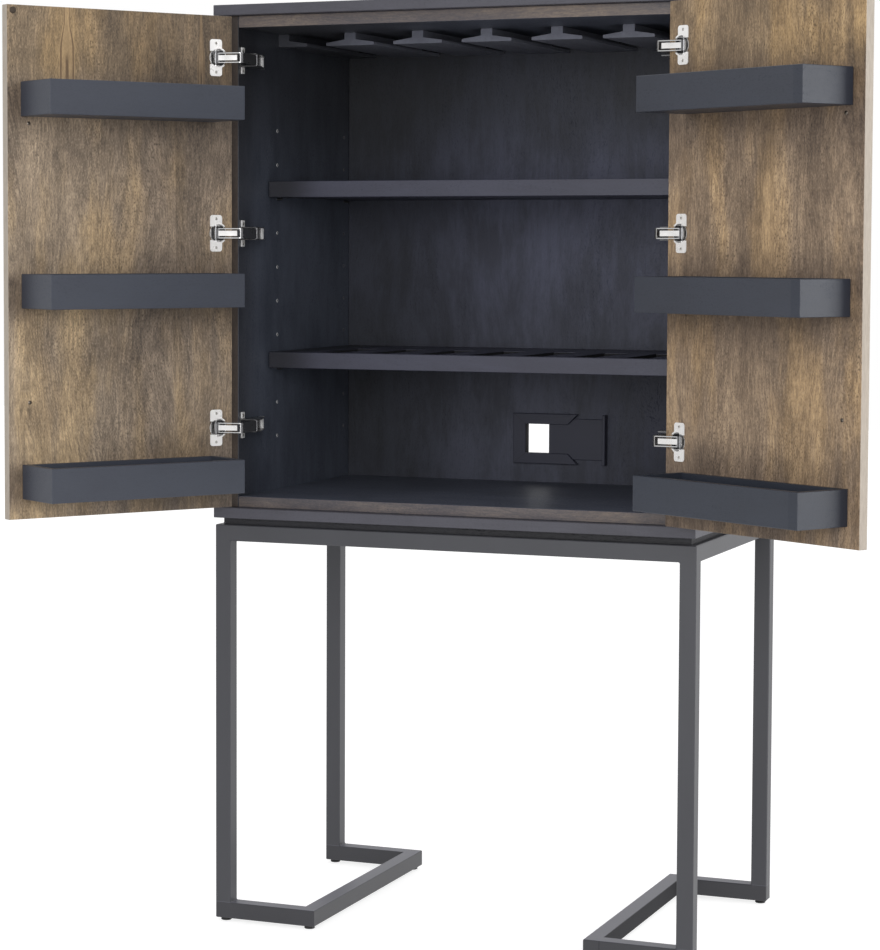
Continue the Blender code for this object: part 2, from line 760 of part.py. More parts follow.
def centre_on_floor(root):
    """Shift the cabinet so that the origin lies on the floor under the middle of what it takes up."""
    bpy.context.view_layer.update()
    corners = [piece.matrix_world @ vertex.co for piece in bpy.data.objects if piece.type == "MESH"
               for vertex in piece.data.vertices]
    for axis in (0, 1):
        values = [corner[axis] for corner in corners]
        root["empty"].location[axis] = -(min(values) + max(values)) / 2
    bpy.context.view_layer.update()


for item in list(bpy.data.objects):
    bpy.data.objects.remove(item, do_unlink=True)

cabinet = add_carrier("cabinet", (0.0, 0.0, 0.0))
hatch_slide = add_carrier("hatch_slide", (cover_edge, back_front, floor_top + hatch_low), cabinet)
door_axes, link_axes = {}, {}
for door_label, door_side, opened in (("left", -1, left_door_angle), ("right", 1, right_door_angle)):
    door_axes[door_label] = add_carrier(f"{door_label}_door_axis", (door_side * axis_x, axis_y, 0.0),
                                        cabinet, door_side * opened)
    pivot_place = (door_side * (door_edge - pivot_offset), door_inner - pivot_sink, 0.0)
    link_axes[door_label] = add_carrier(f"{door_label}_link_axis", pivot_place, door_axes[door_label],
                                        -door_side * opened * (1 - link_turn_share))

build_stand(cabinet)
build_case(cabinet)
build_fittings(cabinet)
build_doors(door_axes)
build_hinges(cabinet, door_axes, link_axes)
build_hatch(cabinet, hatch_slide)
centre_on_floor(cabinet)
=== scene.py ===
"""The wine cabinet dressed for its picture: an oak case with its doors open, on a square tube stand."""
import json
import math

import bmesh
import bpy
import numpy as np
from mathutils import Matrix, Vector


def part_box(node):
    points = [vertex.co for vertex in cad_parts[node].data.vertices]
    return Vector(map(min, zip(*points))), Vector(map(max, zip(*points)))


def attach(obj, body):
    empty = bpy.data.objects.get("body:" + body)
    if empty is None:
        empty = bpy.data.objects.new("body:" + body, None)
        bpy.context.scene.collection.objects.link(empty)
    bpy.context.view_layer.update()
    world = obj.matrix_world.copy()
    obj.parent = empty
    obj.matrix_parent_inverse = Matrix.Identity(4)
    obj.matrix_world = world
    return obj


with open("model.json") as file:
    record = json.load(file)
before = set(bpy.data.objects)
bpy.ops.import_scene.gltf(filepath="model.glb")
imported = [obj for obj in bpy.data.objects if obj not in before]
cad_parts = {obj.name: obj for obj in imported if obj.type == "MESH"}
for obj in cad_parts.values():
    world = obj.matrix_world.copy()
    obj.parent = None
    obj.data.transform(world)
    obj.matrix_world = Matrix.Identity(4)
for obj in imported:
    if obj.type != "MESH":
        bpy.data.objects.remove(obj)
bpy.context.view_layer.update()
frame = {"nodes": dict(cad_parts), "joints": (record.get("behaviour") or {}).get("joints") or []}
nodes = frame["nodes"]


# Square tube stand. Mitred and welded mild steel tube, powder coated in a fine-textured charcoal. The
# welds are ground flush outside and keep a small fillet in each inner corner. The runners have painted
# shade at the floor, deeper on a side face of the right runner, and a painted highlight along their tops.
def shader_node(tree, kind, links=None, **settings):
    """A shader node with its settings. Each entry of links is a value for an input or a socket to join."""
    node = tree.nodes.new("ShaderNode" + kind)
    for name, value in settings.items():
        setattr(node, name, value)
    for key, value in (links or {}).items():
        if isinstance(value, bpy.types.NodeSocket):
            tree.links.new(value, node.inputs[key])
        else:
            node.inputs[key].default_value = value
    return node


def calc(tree, operation, *values, clamp=False):
    """The output of a Math node on sockets or numbers."""
    return shader_node(tree, "Math", dict(enumerate(values)), operation=operation,
                       use_clamp=clamp).outputs[0]


def line(tree, value, slope, start):
    """The start plus the slope times a value."""
    return calc(tree, "ADD", calc(tree, "MULTIPLY", value, slope), start)


def within(tree, value, centre, reach):
    """1 where a value is nearer to a centre than the reach, else 0."""
    return calc(tree, "LESS_THAN", calc(tree, "ABSOLUTE", calc(tree, "SUBTRACT", value, centre)), reach)


def between(tree, value, low, high):
    """1 where a value lies between two limits, else 0."""
    return calc(tree, "MULTIPLY", calc(tree, "GREATER_THAN", value, low),
                calc(tree, "LESS_THAN", value, high))


def blend_colour(tree, factor, first, second, mode="MIX"):
    """The colour output of a Mix node between two colours."""
    links = {0: factor, 6: first, 7: second}
    return shader_node(tree, "Mix", links, data_type="RGBA", blend_type=mode).outputs[2]


def tinted(tree, share, colour, tint):
    """A colour multiplied by a tint of red, green and blue, as far as the share goes."""
    return blend_colour(tree, share, colour, (*tint, 1), "MULTIPLY")


def axes_of(tree, place):
    """The X, Y and Z of a place."""
    return shader_node(tree, "SeparateXYZ", {0: place}).outputs


def fade(tree, value, low, high):
    """0 below low, 1 above high and a smooth step between."""
    return shader_node(tree, "MapRange", {0: value, 1: low, 2: high}, interpolation_type="SMOOTHSTEP",
                       clamp=True).outputs[0]


def noise(tree, vector, scale, detail, roughness=0.5):
    """The grey value of a 3-D noise."""
    return shader_node(tree, "TexNoise", {"Vector": vector, "Scale": scale, "Detail": detail,
                                          "Roughness": roughness}).outputs[0]


def stretched(tree, vector, scale):
    """A vector multiplied along each axis."""
    return shader_node(tree, "VectorMath", {0: vector, 1: scale}, operation="MULTIPLY").outputs[0]


def new_group(name, inputs, outputs):
    """A shader node group, with the kinds of its named inputs and outputs, and its two end nodes."""
    tree = bpy.data.node_groups.new(name, "ShaderNodeTree")
    for label, kind in inputs.items():
        tree.interface.new_socket(label, in_out="INPUT", socket_type="NodeSocket" + kind)
    for label, kind in outputs.items():
        tree.interface.new_socket(label, in_out="OUTPUT", socket_type="NodeSocket" + kind)
    return tree, tree.nodes.new("NodeGroupInput").outputs, tree.nodes.new("NodeGroupOutput").inputs


def use_group(tree, group, **links):
    """A group node in a material, with its inputs set by name."""
    node = tree.nodes.new("ShaderNodeGroup")
    node.node_tree = group
    for key, value in links.items():
        target = node.inputs[key.replace("_", " ")]
        if isinstance(value, bpy.types.NodeSocket):
            tree.links.new(value, target)
        else:
            target.default_value = value
    return node.outputs


def new_material(name, **constants):
    """A material, its tree, its Principled shader with constants set on it, and Object coordinates."""
    material = bpy.data.materials.new(name)
    material.use_nodes = True
    tree = material.node_tree
    shader = tree.nodes["Principled BSDF"]
    for key, value in constants.items():
        shader.inputs[key.replace("_", " ")].default_value = value
    return material, tree, shader, tree.nodes.new("ShaderNodeTexCoord").outputs["Object"]


def join_shader(tree, shader, **links):
    """Link sockets to the shader's inputs by name."""
    for key, socket in links.items():
        tree.links.new(socket, shader.inputs[key.replace("_", " ")])


def bumped(tree, height, distance, strength):
    """The normal of a Bump node."""
    return shader_node(tree, "Bump", {"Height": height, "Distance": distance,
                                      "Strength": strength}).outputs[0]


def dress(material, *names):
    """Give CAD nodes their finished material in place of the plain one."""
    for name in names:
        nodes[name].data.materials.clear()
        nodes[name].data.materials.append(material)


def powder_grain_group():
    """Orange-peel and speck of a textured powder coat, two noises 1.2 mm and 0.35 mm across, and the slow
    clouds of its colour."""
    tree, given, result = new_group("powder_grain", {"Vector": "Vector"},
                                    {"Height": "Float", "Cloud": "Float"})
    place = given["Vector"]
    peel, speck = noise(tree, place, 800.0, 1.0), noise(tree, place, 2800.0, 0.0)
    height = calc(tree, "ADD", calc(tree, "MULTIPLY", peel, 0.65), calc(tree, "MULTIPLY", speck, 0.35))
    tree.links.new(height, result["Height"])
    tree.links.new(noise(tree, stretched(tree, place, (14.0, 14.0, 5.0)), 1.0, 3.0), result["Cloud"])
    return tree


powder_grain = powder_grain_group()
powder_coat, tree, shader, place = new_material("powder_coat", Specular_IOR_Level=0.5)
grain = use_group(tree, powder_grain, Vector=place)
axes = axes_of(tree, place)
tube, tube_corner = 0.030, 0.0015
side_slack, top_slack = 0.0005, 0.0004
frame_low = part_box("right_leg_frame")[0]
# Painted shade on the runners below their tops, deeper on a side face of the right runner, and a painted
# highlight along the runners' tops.
above_runner = calc(tree, "SUBTRACT", axes[2], frame_low.z + tube)
at_floor = calc(tree, "LESS_THAN", above_runner, -side_slack)
runner_side = calc(tree, "MULTIPLY", at_floor, within(tree, axes[0], frame_low.x + tube, side_slack))
painted_top_highlight = calc(tree, "LESS_THAN", calc(tree, "ABSOLUTE", above_runner), top_slack)
powder = blend_colour(tree, grain["Cloud"], (0.040, 0.041, 0.048, 1), (0.054, 0.055, 0.064, 1))
powder = tinted(tree, at_floor, powder, (0.68, 0.67, 0.68))
powder = tinted(tree, runner_side, powder, (0.40, 0.40, 0.43))
powder = tinted(tree, painted_top_highlight, powder, (2.2, 2.15, 2.3))
join_shader(tree, shader, Base_Color=powder,
            Roughness=calc(tree, "ADD", calc(tree, "MULTIPLY", grain["Height"], 0.16),
                           calc(tree, "MULTIPLY_ADD", runner_side, 0.45, 0.36)),
            Normal=bumped(tree, grain["Height"], 0.00006, 0.6))
dress(powder_coat, "left_leg_frame", "right_leg_frame", "front_rail", "back_rail")


def make_skin(name, grids, material, body, smooth=45.0):
    """One object from grids of points (rows, columns, 3), each closed round its columns, so that every row
    is a ring. Edges sharper than the smooth angle stay sharp."""
    corners, faces, start = [], [], 0
    for points in grids:
        rows, columns = points.shape[:2]
        row, column = np.meshgrid(np.arange(rows - 1), np.arange(columns), indexing="ij")
        this_row, next_row, next_column = row * columns, (row + 1) * columns, (column + 1) % columns
        quads = np.stack([this_row + column, this_row + next_column,
                          next_row + next_column, next_row + column], axis=-1)
        faces.append(quads.reshape(-1, 4) + start)
        corners.append(points.reshape(-1, 3))
        start += rows * columns
    mesh = bpy.data.meshes.new(name)
    mesh.from_pydata(np.concatenate(corners).tolist(), [], np.concatenate(faces).tolist())
    work = bmesh.new()
    work.from_mesh(mesh)
    bmesh.ops.remove_doubles(work, verts=work.verts, dist=1e-6)
    bmesh.ops.dissolve_degenerate(work, edges=work.edges, dist=1e-7)
    bmesh.ops.recalc_face_normals(work, faces=work.faces)
    work.to_mesh(mesh)
    work.free()
    mesh.shade_smooth()
    mesh.set_sharp_from_angle(angle=math.radians(smooth))
    mesh.materials.append(material)
    piece = bpy.data.objects.new(name, mesh)
    bpy.context.scene.collection.objects.link(piece)
    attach(piece, body)


def weld_fillet(corner, along, first, second, length):
    """A concave bead in the corner of two tubes. Across, its section runs corner + r(1 - cos a) on one
    wall and r(1 - sin a) on the other; along, r swells by 8 % in ripples 1.6 mm long. It dips 0.2 mm into
    the corner, and its ends close on their middles."""
    radius, swell, ripple, dip = 0.0024, 0.08, 0.0016, 0.0002
    steps, arc_steps = 49, 7
    run = np.linspace(0.0, 1.0, steps)[:, None, None] * length
    turn = np.linspace(0.0, math.pi / 2, arc_steps)[None, :, None]
    size = radius * (1 + swell * np.cos(run * 2 * math.pi / ripple + turn))
    corner, along = np.array(corner), np.array(along)
    first, second = np.array(first), np.array(second)
    face = corner + along * run + first * size * (1 - np.cos(turn)) + second * size * (1 - np.sin(turn))
    root = np.broadcast_to(corner - (first + second) * dip, (steps, 1, 3)) + along * run
    ring = np.concatenate([face, root], axis=1)
    ends = [end.mean(axis=1, keepdims=True).repeat(arc_steps + 1, axis=1) for end in (ring[:1], ring[-1:])]
    return np.concatenate([ends[0], ring, ends[1]], axis=0)


def ground_weld(start, length):
    """A weld ground flush: a plug of the tube's section, a square with its corners cut by the chamfer, that
    runs along X and fills the groove between two tubes. Its ends close on their middles."""
    near, far = tube_corner, tube - tube_corner
    outline = np.array([(near, 0), (far, 0), (tube, near), (tube, far), (far, tube), (near, tube), (0, far),
                        (0, near)])
    middle = np.full(outline.shape, tube / 2)
    rows = np.stack([middle, outline, outline, middle])
    run = np.broadcast_to(np.array((0.0, 0.0, length, length))[:, None, None], rows.shape[:2] + (1,))
    return np.concatenate([run, rows], axis=-1) + np.array(start)


bead_inset, rail_gap = 0.002, 0.0003
bead_length, groove = tube - 2 * bead_inset, 2 * tube_corner + rail_gap
for side, label in ((-1, "left"), (1, "right")):
    low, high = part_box(f"{label}_leg_frame")
    outer, inner = (high.x, low.x) if side > 0 else (low.x, high.x)
    leg_face, runner_face = outer - side * tube, inner + side * tube
    rail_under, runner_top = high.z - tube, low.z + tube
    outward, towards_middle = (side, 0, 0), (-side, 0, 0)
    beads = []
    for y, facing in ((low.y + tube, 1), (high.y - tube, -1)):
        inward = (0, facing, 0)
        leg_edge, leg_start = leg_face + side * bead_inset, y - facing * (tube - bead_inset)
        beads += [weld_fillet(*places, bead_length) for places in (
            ((leg_edge, y, rail_under), outward, inward, (0, 0, -1)),
            ((runner_face, y, low.z + bead_inset), (0, 0, 1), inward, outward),
            ((leg_face, leg_start, runner_top), inward, towards_middle, (0, 0, 1)),
            ((leg_face, leg_start, rail_under), inward, towards_middle, (0, 0, -1)))]
    make_skin(f"{label}_frame_welds", beads, powder_coat, "cabinet")
    flush = [ground_weld((leg_face + side * tube_corner, y, rail_under), -side * groove)
             for y in (low.y, high.y - tube)]
    make_skin(f"{label}_rail_welds", flush, powder_coat, "cabinet", 20.0)

# Glides. Moulded black nylon feet on a short neck, pressed into the tubes' lower ends. Each has a
# satin skin with a fine grain from the mould.
moulded_black, tree, shader, place = new_material("moulded_black", Roughness=0.5)
grain = use_group(tree, powder_grain, Vector=place)
join_shader(tree, shader,
            Base_Color=blend_colour(tree, grain["Cloud"], (0.010, 0.010, 0.011, 1), (0.020, 0.020, 0.021, 1)),
            Normal=bumped(tree, grain["Height"], 0.00003, 0.5))
dress(moulded_black, *[name for name in nodes if name.startswith("glide_")])


# Caps, plinth and back board. Oak-veneered board, open-pored and stained charcoal, with a thin matt
# lacquer. The caps lie level with the sides. The plinth is set back to make a shadow gap, and its stain is
# nearly black as painted shade. The back board has painted shade and light, laid in by place.
def oak_figure_group():
    """Figure of sliced oak, grain along Z, in leaves laid side by side. The grain of a leaf wanders: a slow
    noise shifts it sideways. Rings are circles about a leaning pith, cut by the face: r = sqrt(across^2 +
    depth^2), with depth growing along Z, and they fade in and out. Pores are dark dashes of about 1.5 by
    5 mm, denser in the early wood, and Flecks are the pale wood between them. Fibres, Mottle and Stripes
    are streaks about 4, 17 and 31 mm wide. Smoke and Glow are slow drifts, 0.1 m wide and longer upright."""
    tree, given, result = new_group(
        "oak_figure", {"Vector": "Vector", "Leaf Width": "Float", "Ring Pitch": "Float", "Seed": "Float"},
        {"Rings": "Float", "Pores": "Float", "Flecks": "Float", "Fibres": "Float", "Mottle": "Float",
         "Stripes": "Float", "Smoke": "Float", "Glow": "Float", "Height": "Float"})
    place = given["Vector"]
    axes = axes_of(tree, place)
    leaf_place = calc(tree, "ADD", calc(tree, "DIVIDE", axes[0], given["Leaf Width"]), given["Seed"])
    leaf = calc(tree, "FLOOR", leaf_place)
    chance = shader_node(tree, "TexWhiteNoise", {"W": calc(tree, "ADD", leaf, given["Seed"])},
                         noise_dimensions="1D").outputs
    shares = shader_node(tree, "SeparateColor", {0: chance["Color"]}).outputs
    centred = calc(tree, "ADD", calc(tree, "SUBTRACT", calc(tree, "FRACT", leaf_place), 0.5),
                   calc(tree, "MULTIPLY", calc(tree, "SUBTRACT", shares[0], 0.5), 0.7))
    higher = calc(tree, "ADD", axes[2], calc(tree, "MULTIPLY", shares[1], 7.0))
    shifted = shader_node(tree, "CombineXYZ", {0: axes[0], 1: axes[1], 2: higher}).outputs[0]
    slow = noise(tree, stretched(tree, shifted, (5.5, 5.5, 2.3)), 1.0, 1.0)
    drift = calc(tree, "MULTIPLY", calc(tree, "SUBTRACT", slow, 0.5), 0.10)
    aside = calc(tree, "ADD", axes[0], drift)
    grain = shader_node(tree, "CombineXYZ", {0: aside, 1: axes[1], 2: axes[2]}).outputs[0]
    across = calc(tree, "ADD", calc(tree, "MULTIPLY", centred, given["Leaf Width"]), drift)
    lean = calc(tree, "MULTIPLY", calc(tree, "SUBTRACT", shares[1], 0.35), 0.12)
    depth = calc(tree, "ADD", line(tree, axes[2], lean, 0.010), calc(tree, "MULTIPLY", shares[2], 0.04))
    ripple = calc(tree, "MULTIPLY", noise(tree, stretched(tree, grain, (60.0, 60.0, 14.0)), 1.0, 3.0), 0.006)
    radius = calc(tree, "ADD", calc(tree, "SQRT", calc(tree, "ADD", calc(tree, "MULTIPLY", across, across),
                                                      calc(tree, "MULTIPLY", depth, depth))), ripple)
    turns = calc(tree, "DIVIDE", radius, given["Ring Pitch"])
    saw = calc(tree, "FRACT", turns)
    ring = calc(tree, "MULTIPLY", fade(tree, saw, 0.0, 0.35), fade(tree, saw, 1.0, 0.45))
    shown = fade(tree, noise(tree, stretched(tree, shifted, (16.0, 16.0, 5.0)), 1.0, 1.0), 0.42, 0.66)
    ring = calc(tree, "MULTIPLY", ring, shown)
    streak = noise(tree, stretched(tree, grain, (640.0, 640.0, 210.0)), 1.0, 1.0)
    pores = calc(tree, "MULTIPLY", fade(tree, streak, 0.50, 0.68), line(tree, ring, 0.6, 0.5))
    flecks = fade(tree, streak, 0.46, 0.32)
    fibres = noise(tree, stretched(tree, grain, (260.0, 260.0, 45.0)), 1.0, 3.0, 0.65)
    mottle = noise(tree, stretched(tree, grain, (60.0, 60.0, 9.0)), 1.0, 3.0, 0.6)
    stripes = noise(tree, stretched(tree, grain, (32.0, 32.0, 3.4)), 1.0, 2.0, 0.5)
    smoke = noise(tree, stretched(tree, place, (11.0, 11.0, 5.0)), 1.0, 4.0, 0.6)
    glow = noise(tree, stretched(tree, place, (12.0, 12.0, 3.0)), 1.0, 3.0, 0.55)
    height = calc(tree, "SUBTRACT", calc(tree, "MULTIPLY", fibres, 0.35), calc(tree, "MULTIPLY", pores, 0.8))
    for label, socket in (("Rings", ring), ("Pores", pores), ("Flecks", flecks), ("Fibres", fibres),
                          ("Mottle", mottle), ("Stripes", stripes), ("Smoke", smoke), ("Glow", glow),
                          ("Height", height)):
        tree.links.new(socket, result[label])
    return tree


oak_figure = oak_figure_group()


def charcoal_colour(tree, figure, dark, pale):
    """Stain on oak: dark to pale in brushed streaks and slow drifts, with faint dark pores."""
    tone = calc(tree, "MULTIPLY", figure["Fibres"], 0.16)
    for part, weight in (("Mottle", 0.24), ("Smoke", 0.60)):
        tone = calc(tree, "ADD", tone, calc(tree, "MULTIPLY", figure[part], weight))
    base = blend_colour(tree, fade(tree, tone, 0.36, 0.64), dark, pale)
    return blend_colour(tree, calc(tree, "MULTIPLY", figure["Pores"], 0.16), base,
                        tuple(0.45 * value for value in dark[:3]) + (1,))


def charcoal_board(name, dark, pale, turn=(0, 0, 0), seed=0.0, roughness=0.46, finish=None, **constants):
    """Charcoal-stained oak with its grain turned from Z by the given angles. A finish is a function that
    paints light and shade into the stained colour by the place on the board and says how much rougher it is
    there."""
    material, tree, shader, place = new_material(name, **constants)
    axes = axes_of(tree, place)
    place = shader_node(tree, "Mapping", {"Vector": place, "Rotation": turn}).outputs[0]
    figure = use_group(tree, oak_figure, Vector=place, Leaf_Width=0.14, Ring_Pitch=0.006, Seed=seed)
    colour = charcoal_colour(tree, figure, dark, pale)
    rougher = 0.0
    if finish:
        colour, rougher = finish(tree, axes, colour)
    matt = line(tree, figure["Pores"], 0.25, roughness)
    join_shader(tree, shader, Base_Color=colour, Roughness=calc(tree, "ADD", matt, rougher, clamp=True),
                Normal=bumped(tree, figure["Height"], 0.00012, 0.5))
    return material


along_x = (0, math.radians(90), 0)
cap_stain = charcoal_board("cap_stain", (0.049, 0.048, 0.061, 1), (0.067, 0.066, 0.084, 1), along_x, 3.0)
back_low, back_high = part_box("back_board")


def back_painted_shade(tree, axes, colour):
    """The back has painted shade at the top, in the left corner and low on the right, and painted light in
    its middle. Its hole's cut edges are painted near black as painted shade; the rear face has a plain grey
    stain."""
    # Painted shade and light, laid in by height and by place across the board.
    top = fade(tree, axes[2], 1.36, 1.56)
    low_right = calc(tree, "MULTIPLY", fade(tree, axes[0], -0.06, 0.18), fade(tree, axes[2], 1.10, 1.00))
    corner = fade(tree, axes[0], back_low.x + 0.38, back_low.x + 0.04)
    middle = calc(tree, "MULTIPLY", fade(tree, axes[2], 1.05, 1.20), fade(tree, axes[2], 1.55, 1.40))
    for share, tint in ((top, (0.34, 0.36, 0.40)), (low_right, (0.34, 0.36, 0.46)),
                        (corner, (0.34, 0.35, 0.34)), (middle, (1.22, 1.22, 1.30))):
        colour = tinted(tree, share, colour, tint)
    face_depth = 0.0004
    cut = between(tree, axes[1], back_low.y + face_depth, back_high.y - face_depth)
    rear = calc(tree, "GREATER_THAN", axes[1], back_high.y - face_depth)
    colour = blend_colour(tree, calc(tree, "MULTIPLY", rear, 0.8), colour, (0.034, 0.033, 0.034, 1))
    return blend_colour(tree, cut, colour, (0.002, 0.002, 0.003, 1)), cut


back_stain = charcoal_board("back_stain", (0.026, 0.0285, 0.043, 1), (0.060, 0.065, 0.096, 1), seed=7.0,
                            finish=back_painted_shade, Specular_IOR_Level=0.36)
# The plinth's near black stands in for the shade of its gap.
plinth_shade_stain = charcoal_board("plinth_shade_stain", (0.009, 0.009, 0.012, 1), (0.015, 0.015, 0.020, 1), along_x,
                              4.0, 0.6)
dress(cap_stain, "top_cap", "bottom_cap")
dress(plinth_shade_stain, "plinth")
dress(back_stain, "back_board")


# Case sides, top and bottom boards. Brown oak veneer outside and on the front edges, charcoal stain
# inside. Painted shade darkens the sides' front edges, their insides to the top and to the front, and the
# top board to the left. Turned nickel-plated sleeves line the drilled holes for the shelf pins, but for
# the rows that hold the shelves; the rear ones are painted dark as painted shade.
def oak_colour(tree, figure, dark, middle, pale):
    """Smoked oak: dark to pale over fibres, mottle, rings, stripes and drifts, tinted gold and grey in slow
    drifts, pale in the flecks and dark in the pores."""
    tone = calc(tree, "MULTIPLY", figure["Fibres"], 2.0)
    for part, weight in (("Mottle", 0.8), ("Rings", 0.26), ("Stripes", 0.8), ("Glow", 1.0)):
        tone = calc(tree, "ADD", tone, calc(tree, "MULTIPLY", figure[part], weight))
    tone = calc(tree, "SUBTRACT", tone, 1.86)
    base = blend_colour(tree, calc(tree, "MULTIPLY", tone, 2.0, clamp=True), dark, middle)
    base = blend_colour(tree, calc(tree, "MULTIPLY_ADD", tone, 2.0, -1.0, clamp=True), base, pale)
    base = tinted(tree, fade(tree, figure["Glow"], 0.42, 0.64), base, (1.14, 1.07, 0.89))
    base = tinted(tree, fade(tree, figure["Smoke"], 0.45, 0.66), base, (0.63, 0.625, 0.64))
    base = blend_colour(tree, calc(tree, "MULTIPLY", figure["Flecks"], 0.16), base, (0.62, 0.50, 0.38, 1))
    return blend_colour(tree, calc(tree, "MULTIPLY", figure["Pores"], 0.60), base, (0.050, 0.038, 0.030, 1))


oak_tones = ((0.130, 0.100, 0.076, 1), (0.245, 0.188, 0.139, 1), (0.42, 0.322, 0.235, 1))
cap_low, cap_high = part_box("top_cap")
middle_x = (cap_low.x + cap_high.x) / 2
side_low, side_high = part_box("right_side")
side_thickness = 0.041
side_face = side_high.x - middle_x - side_thickness
front_edge = side_low.y
case_oak, tree, shader, place = new_material("case_oak")
axes = axes_of(tree, place)
off_centre = calc(tree, "ABSOLUTE", calc(tree, "SUBTRACT", axes[0], middle_x))
figure = use_group(tree, oak_figure, Vector=place, Leaf_Width=0.15, Ring_Pitch=0.0052, Seed=11.0)
brown = oak_colour(tree, figure, *oak_tones)
edge_skin, wall_skin, pin_start = 0.0006, 0.0012, 0.0004
# The sides' front edges are painted near black brown as painted shade.
edge = calc(tree, "LESS_THAN", axes[1], front_edge + edge_skin)
brown = blend_colour(tree, calc(tree, "MULTIPLY", edge, 0.88), brown, (0.016, 0.009, 0.008, 1))
stain = charcoal_colour(tree, figure, (0.047, 0.055, 0.076, 1), (0.083, 0.095, 0.127, 1))
# Painted shade inside: darker to the top and to the front.
stain = tinted(tree, fade(tree, axes[2], 1.30, 1.58), stain, (0.46, 0.44, 0.42))
front_shade = fade(tree, axes[1], front_edge + 0.10, front_edge + 0.01)
stain = tinted(tree, front_shade, stain, (0.70, 0.66, 0.62))
inside = calc(tree, "LESS_THAN", off_centre, side_face + wall_skin)
metal = calc(tree, "LESS_THAN", off_centre, side_face - pin_start)
surface = blend_colour(tree, inside, brown, stain)
matt = line(tree, figure["Pores"], 0.2, 0.45)
join_shader(tree, shader, Base_Color=blend_colour(tree, metal, surface, (0.12, 0.12, 0.12, 1)),
            Metallic=metal, Roughness=calc(tree, "SUBTRACT", matt, calc(tree, "MULTIPLY", metal, 0.15)),
            Normal=bumped(tree, figure["Height"], 0.00012, 0.5))
dress(case_oak, "left_side", "right_side")

level_oak, tree, shader, place = new_material("level_oak")
axes = axes_of(tree, place)
turned_place = shader_node(tree, "Mapping", {"Vector": place, "Rotation": along_x}).outputs[0]
figure = use_group(tree, oak_figure, Vector=turned_place, Leaf_Width=0.15, Ring_Pitch=0.0052, Seed=5.0)
brown = blend_colour(tree, 0.66, oak_colour(tree, figure, *oak_tones), (0.040, 0.043, 0.066, 1))
stain = charcoal_colour(tree, figure, (0.056, 0.063, 0.088, 1), (0.092, 0.102, 0.138, 1))
# Painted shade on the top board, darker to the left.
on_top_board = calc(tree, "GREATER_THAN", axes[2], 1.6)
left_ceiling_shade = fade(tree, axes[0], middle_x + 0.05, middle_x - 0.34)
stain = tinted(tree, calc(tree, "MULTIPLY", left_ceiling_shade, on_top_board), stain, (0.60, 0.55, 0.48))
board_edge = front_edge + 0.0004
edge = calc(tree, "LESS_THAN", axes[1], board_edge)
join_shader(tree, shader, Base_Color=blend_colour(tree, edge, stain, brown),
            Roughness=line(tree, figure["Pores"], 0.2, 0.42),
            Normal=bumped(tree, figure["Height"], 0.00012, 0.5))
dress(level_oak, "top_board", "bottom_board")


def turned(profile, centre, axis):
    """A turned shape: radius and height pairs of a profile carried round an axis through the centre, in
    steps of 15 degrees."""
    steps = 24
    axis = np.array(axis, float) / np.linalg.norm(axis)
    across = np.cross(axis, (0.0, 0.0, 1.0) if abs(axis[2]) < 0.9 else (1.0, 0.0, 0.0))
    across /= np.linalg.norm(across)
    other = np.cross(axis, across)
    profile = np.array(profile)
    turn = np.linspace(0.0, 2 * math.pi, steps, endpoint=False)[None, :, None]
    radius, height = profile[:, 0][:, None, None], profile[:, 1][:, None, None]
    return np.array(centre) + radius * (np.cos(turn) * across + np.sin(turn) * other) + height * axis


case_floor, first_pin, pin_pitch, pin_rows, shelf_rows = 0.794, 0.1015, 0.064, 10, (2, 7)
pin_heights = case_floor + first_pin + pin_pitch * np.arange(pin_rows)
front_pins, rear_pins = 0.195, 0.521
pin_depths = (cap_low.y + front_pins, cap_low.y + rear_pins)
sleeve_metal, tree, shader, place = new_material("sleeve_metal", Metallic=0.5)
wear = noise(tree, place, 900.0, 2.0)
# The rear sleeves are painted dark as painted shade.
rear_shade = calc(tree, "GREATER_THAN", axes_of(tree, place)[1], cap_low.y + 0.4)
plated = blend_colour(tree, wear, (0.62, 0.62, 0.62, 1), (0.86, 0.85, 0.84, 1))
join_shader(tree, shader, Base_Color=blend_colour(tree, rear_shade, plated, (0.16, 0.16, 0.17, 1)),
            Roughness=line(tree, wear, 0.3, 0.25))
lip = [(0.0024, 0.0), (0.0024, 0.0003), (0.0027, 0.0005), (0.0033, 0.0004), (0.0036, 0.0), (0.0024, 0.0)]
for side, label in ((-1, "left"), (1, "right")):
    wall = middle_x + side * side_face
    rings = [turned(lip, (wall, y, z), (-side, 0, 0))
             for y in pin_depths for row, z in enumerate(pin_heights) if row not in shelf_rows]
    make_skin(f"{label}_pin_sleeves", rings, sleeve_metal, "cabinet")

# Shelves and stemware rails. Thick charcoal shelves on four pins each, the lower one routed with seven
# rests for lying bottles, and milled T rails screwed up into the top board.
shelf_low, shelf_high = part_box("lower_shelf")


def shelf_painted_shade(tree, axes, colour):
    """Painted shade on the shelves: the front edge darkens into the corner at the left, and the routed
    rests are painted near black inside.
    """
    corner = fade(tree, axes[0], shelf_low.x + 0.120, shelf_low.x + 0.025)
    colour = tinted(tree, corner, colour, (0.28, 0.28, 0.28))
    edge_round, top_round = 0.0012, 0.0008
    behind = calc(tree, "GREATER_THAN", axes[1], shelf_low.y + edge_round)
    routed = between(tree, axes[2], shelf_low.z + edge_round, shelf_high.z - top_round)
    routed = calc(tree, "MULTIPLY", routed, behind)
    return blend_colour(tree, routed, colour, (0.006, 0.006, 0.009, 1)), calc(tree, "MULTIPLY", routed, 0.4)


shelf_stain = charcoal_board("shelf_stain", (0.028, 0.029, 0.048, 1), (0.039, 0.041, 0.066, 1), along_x,
                             1.0, 0.42, shelf_painted_shade)
rail_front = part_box("stemware_rail_1")[0].y


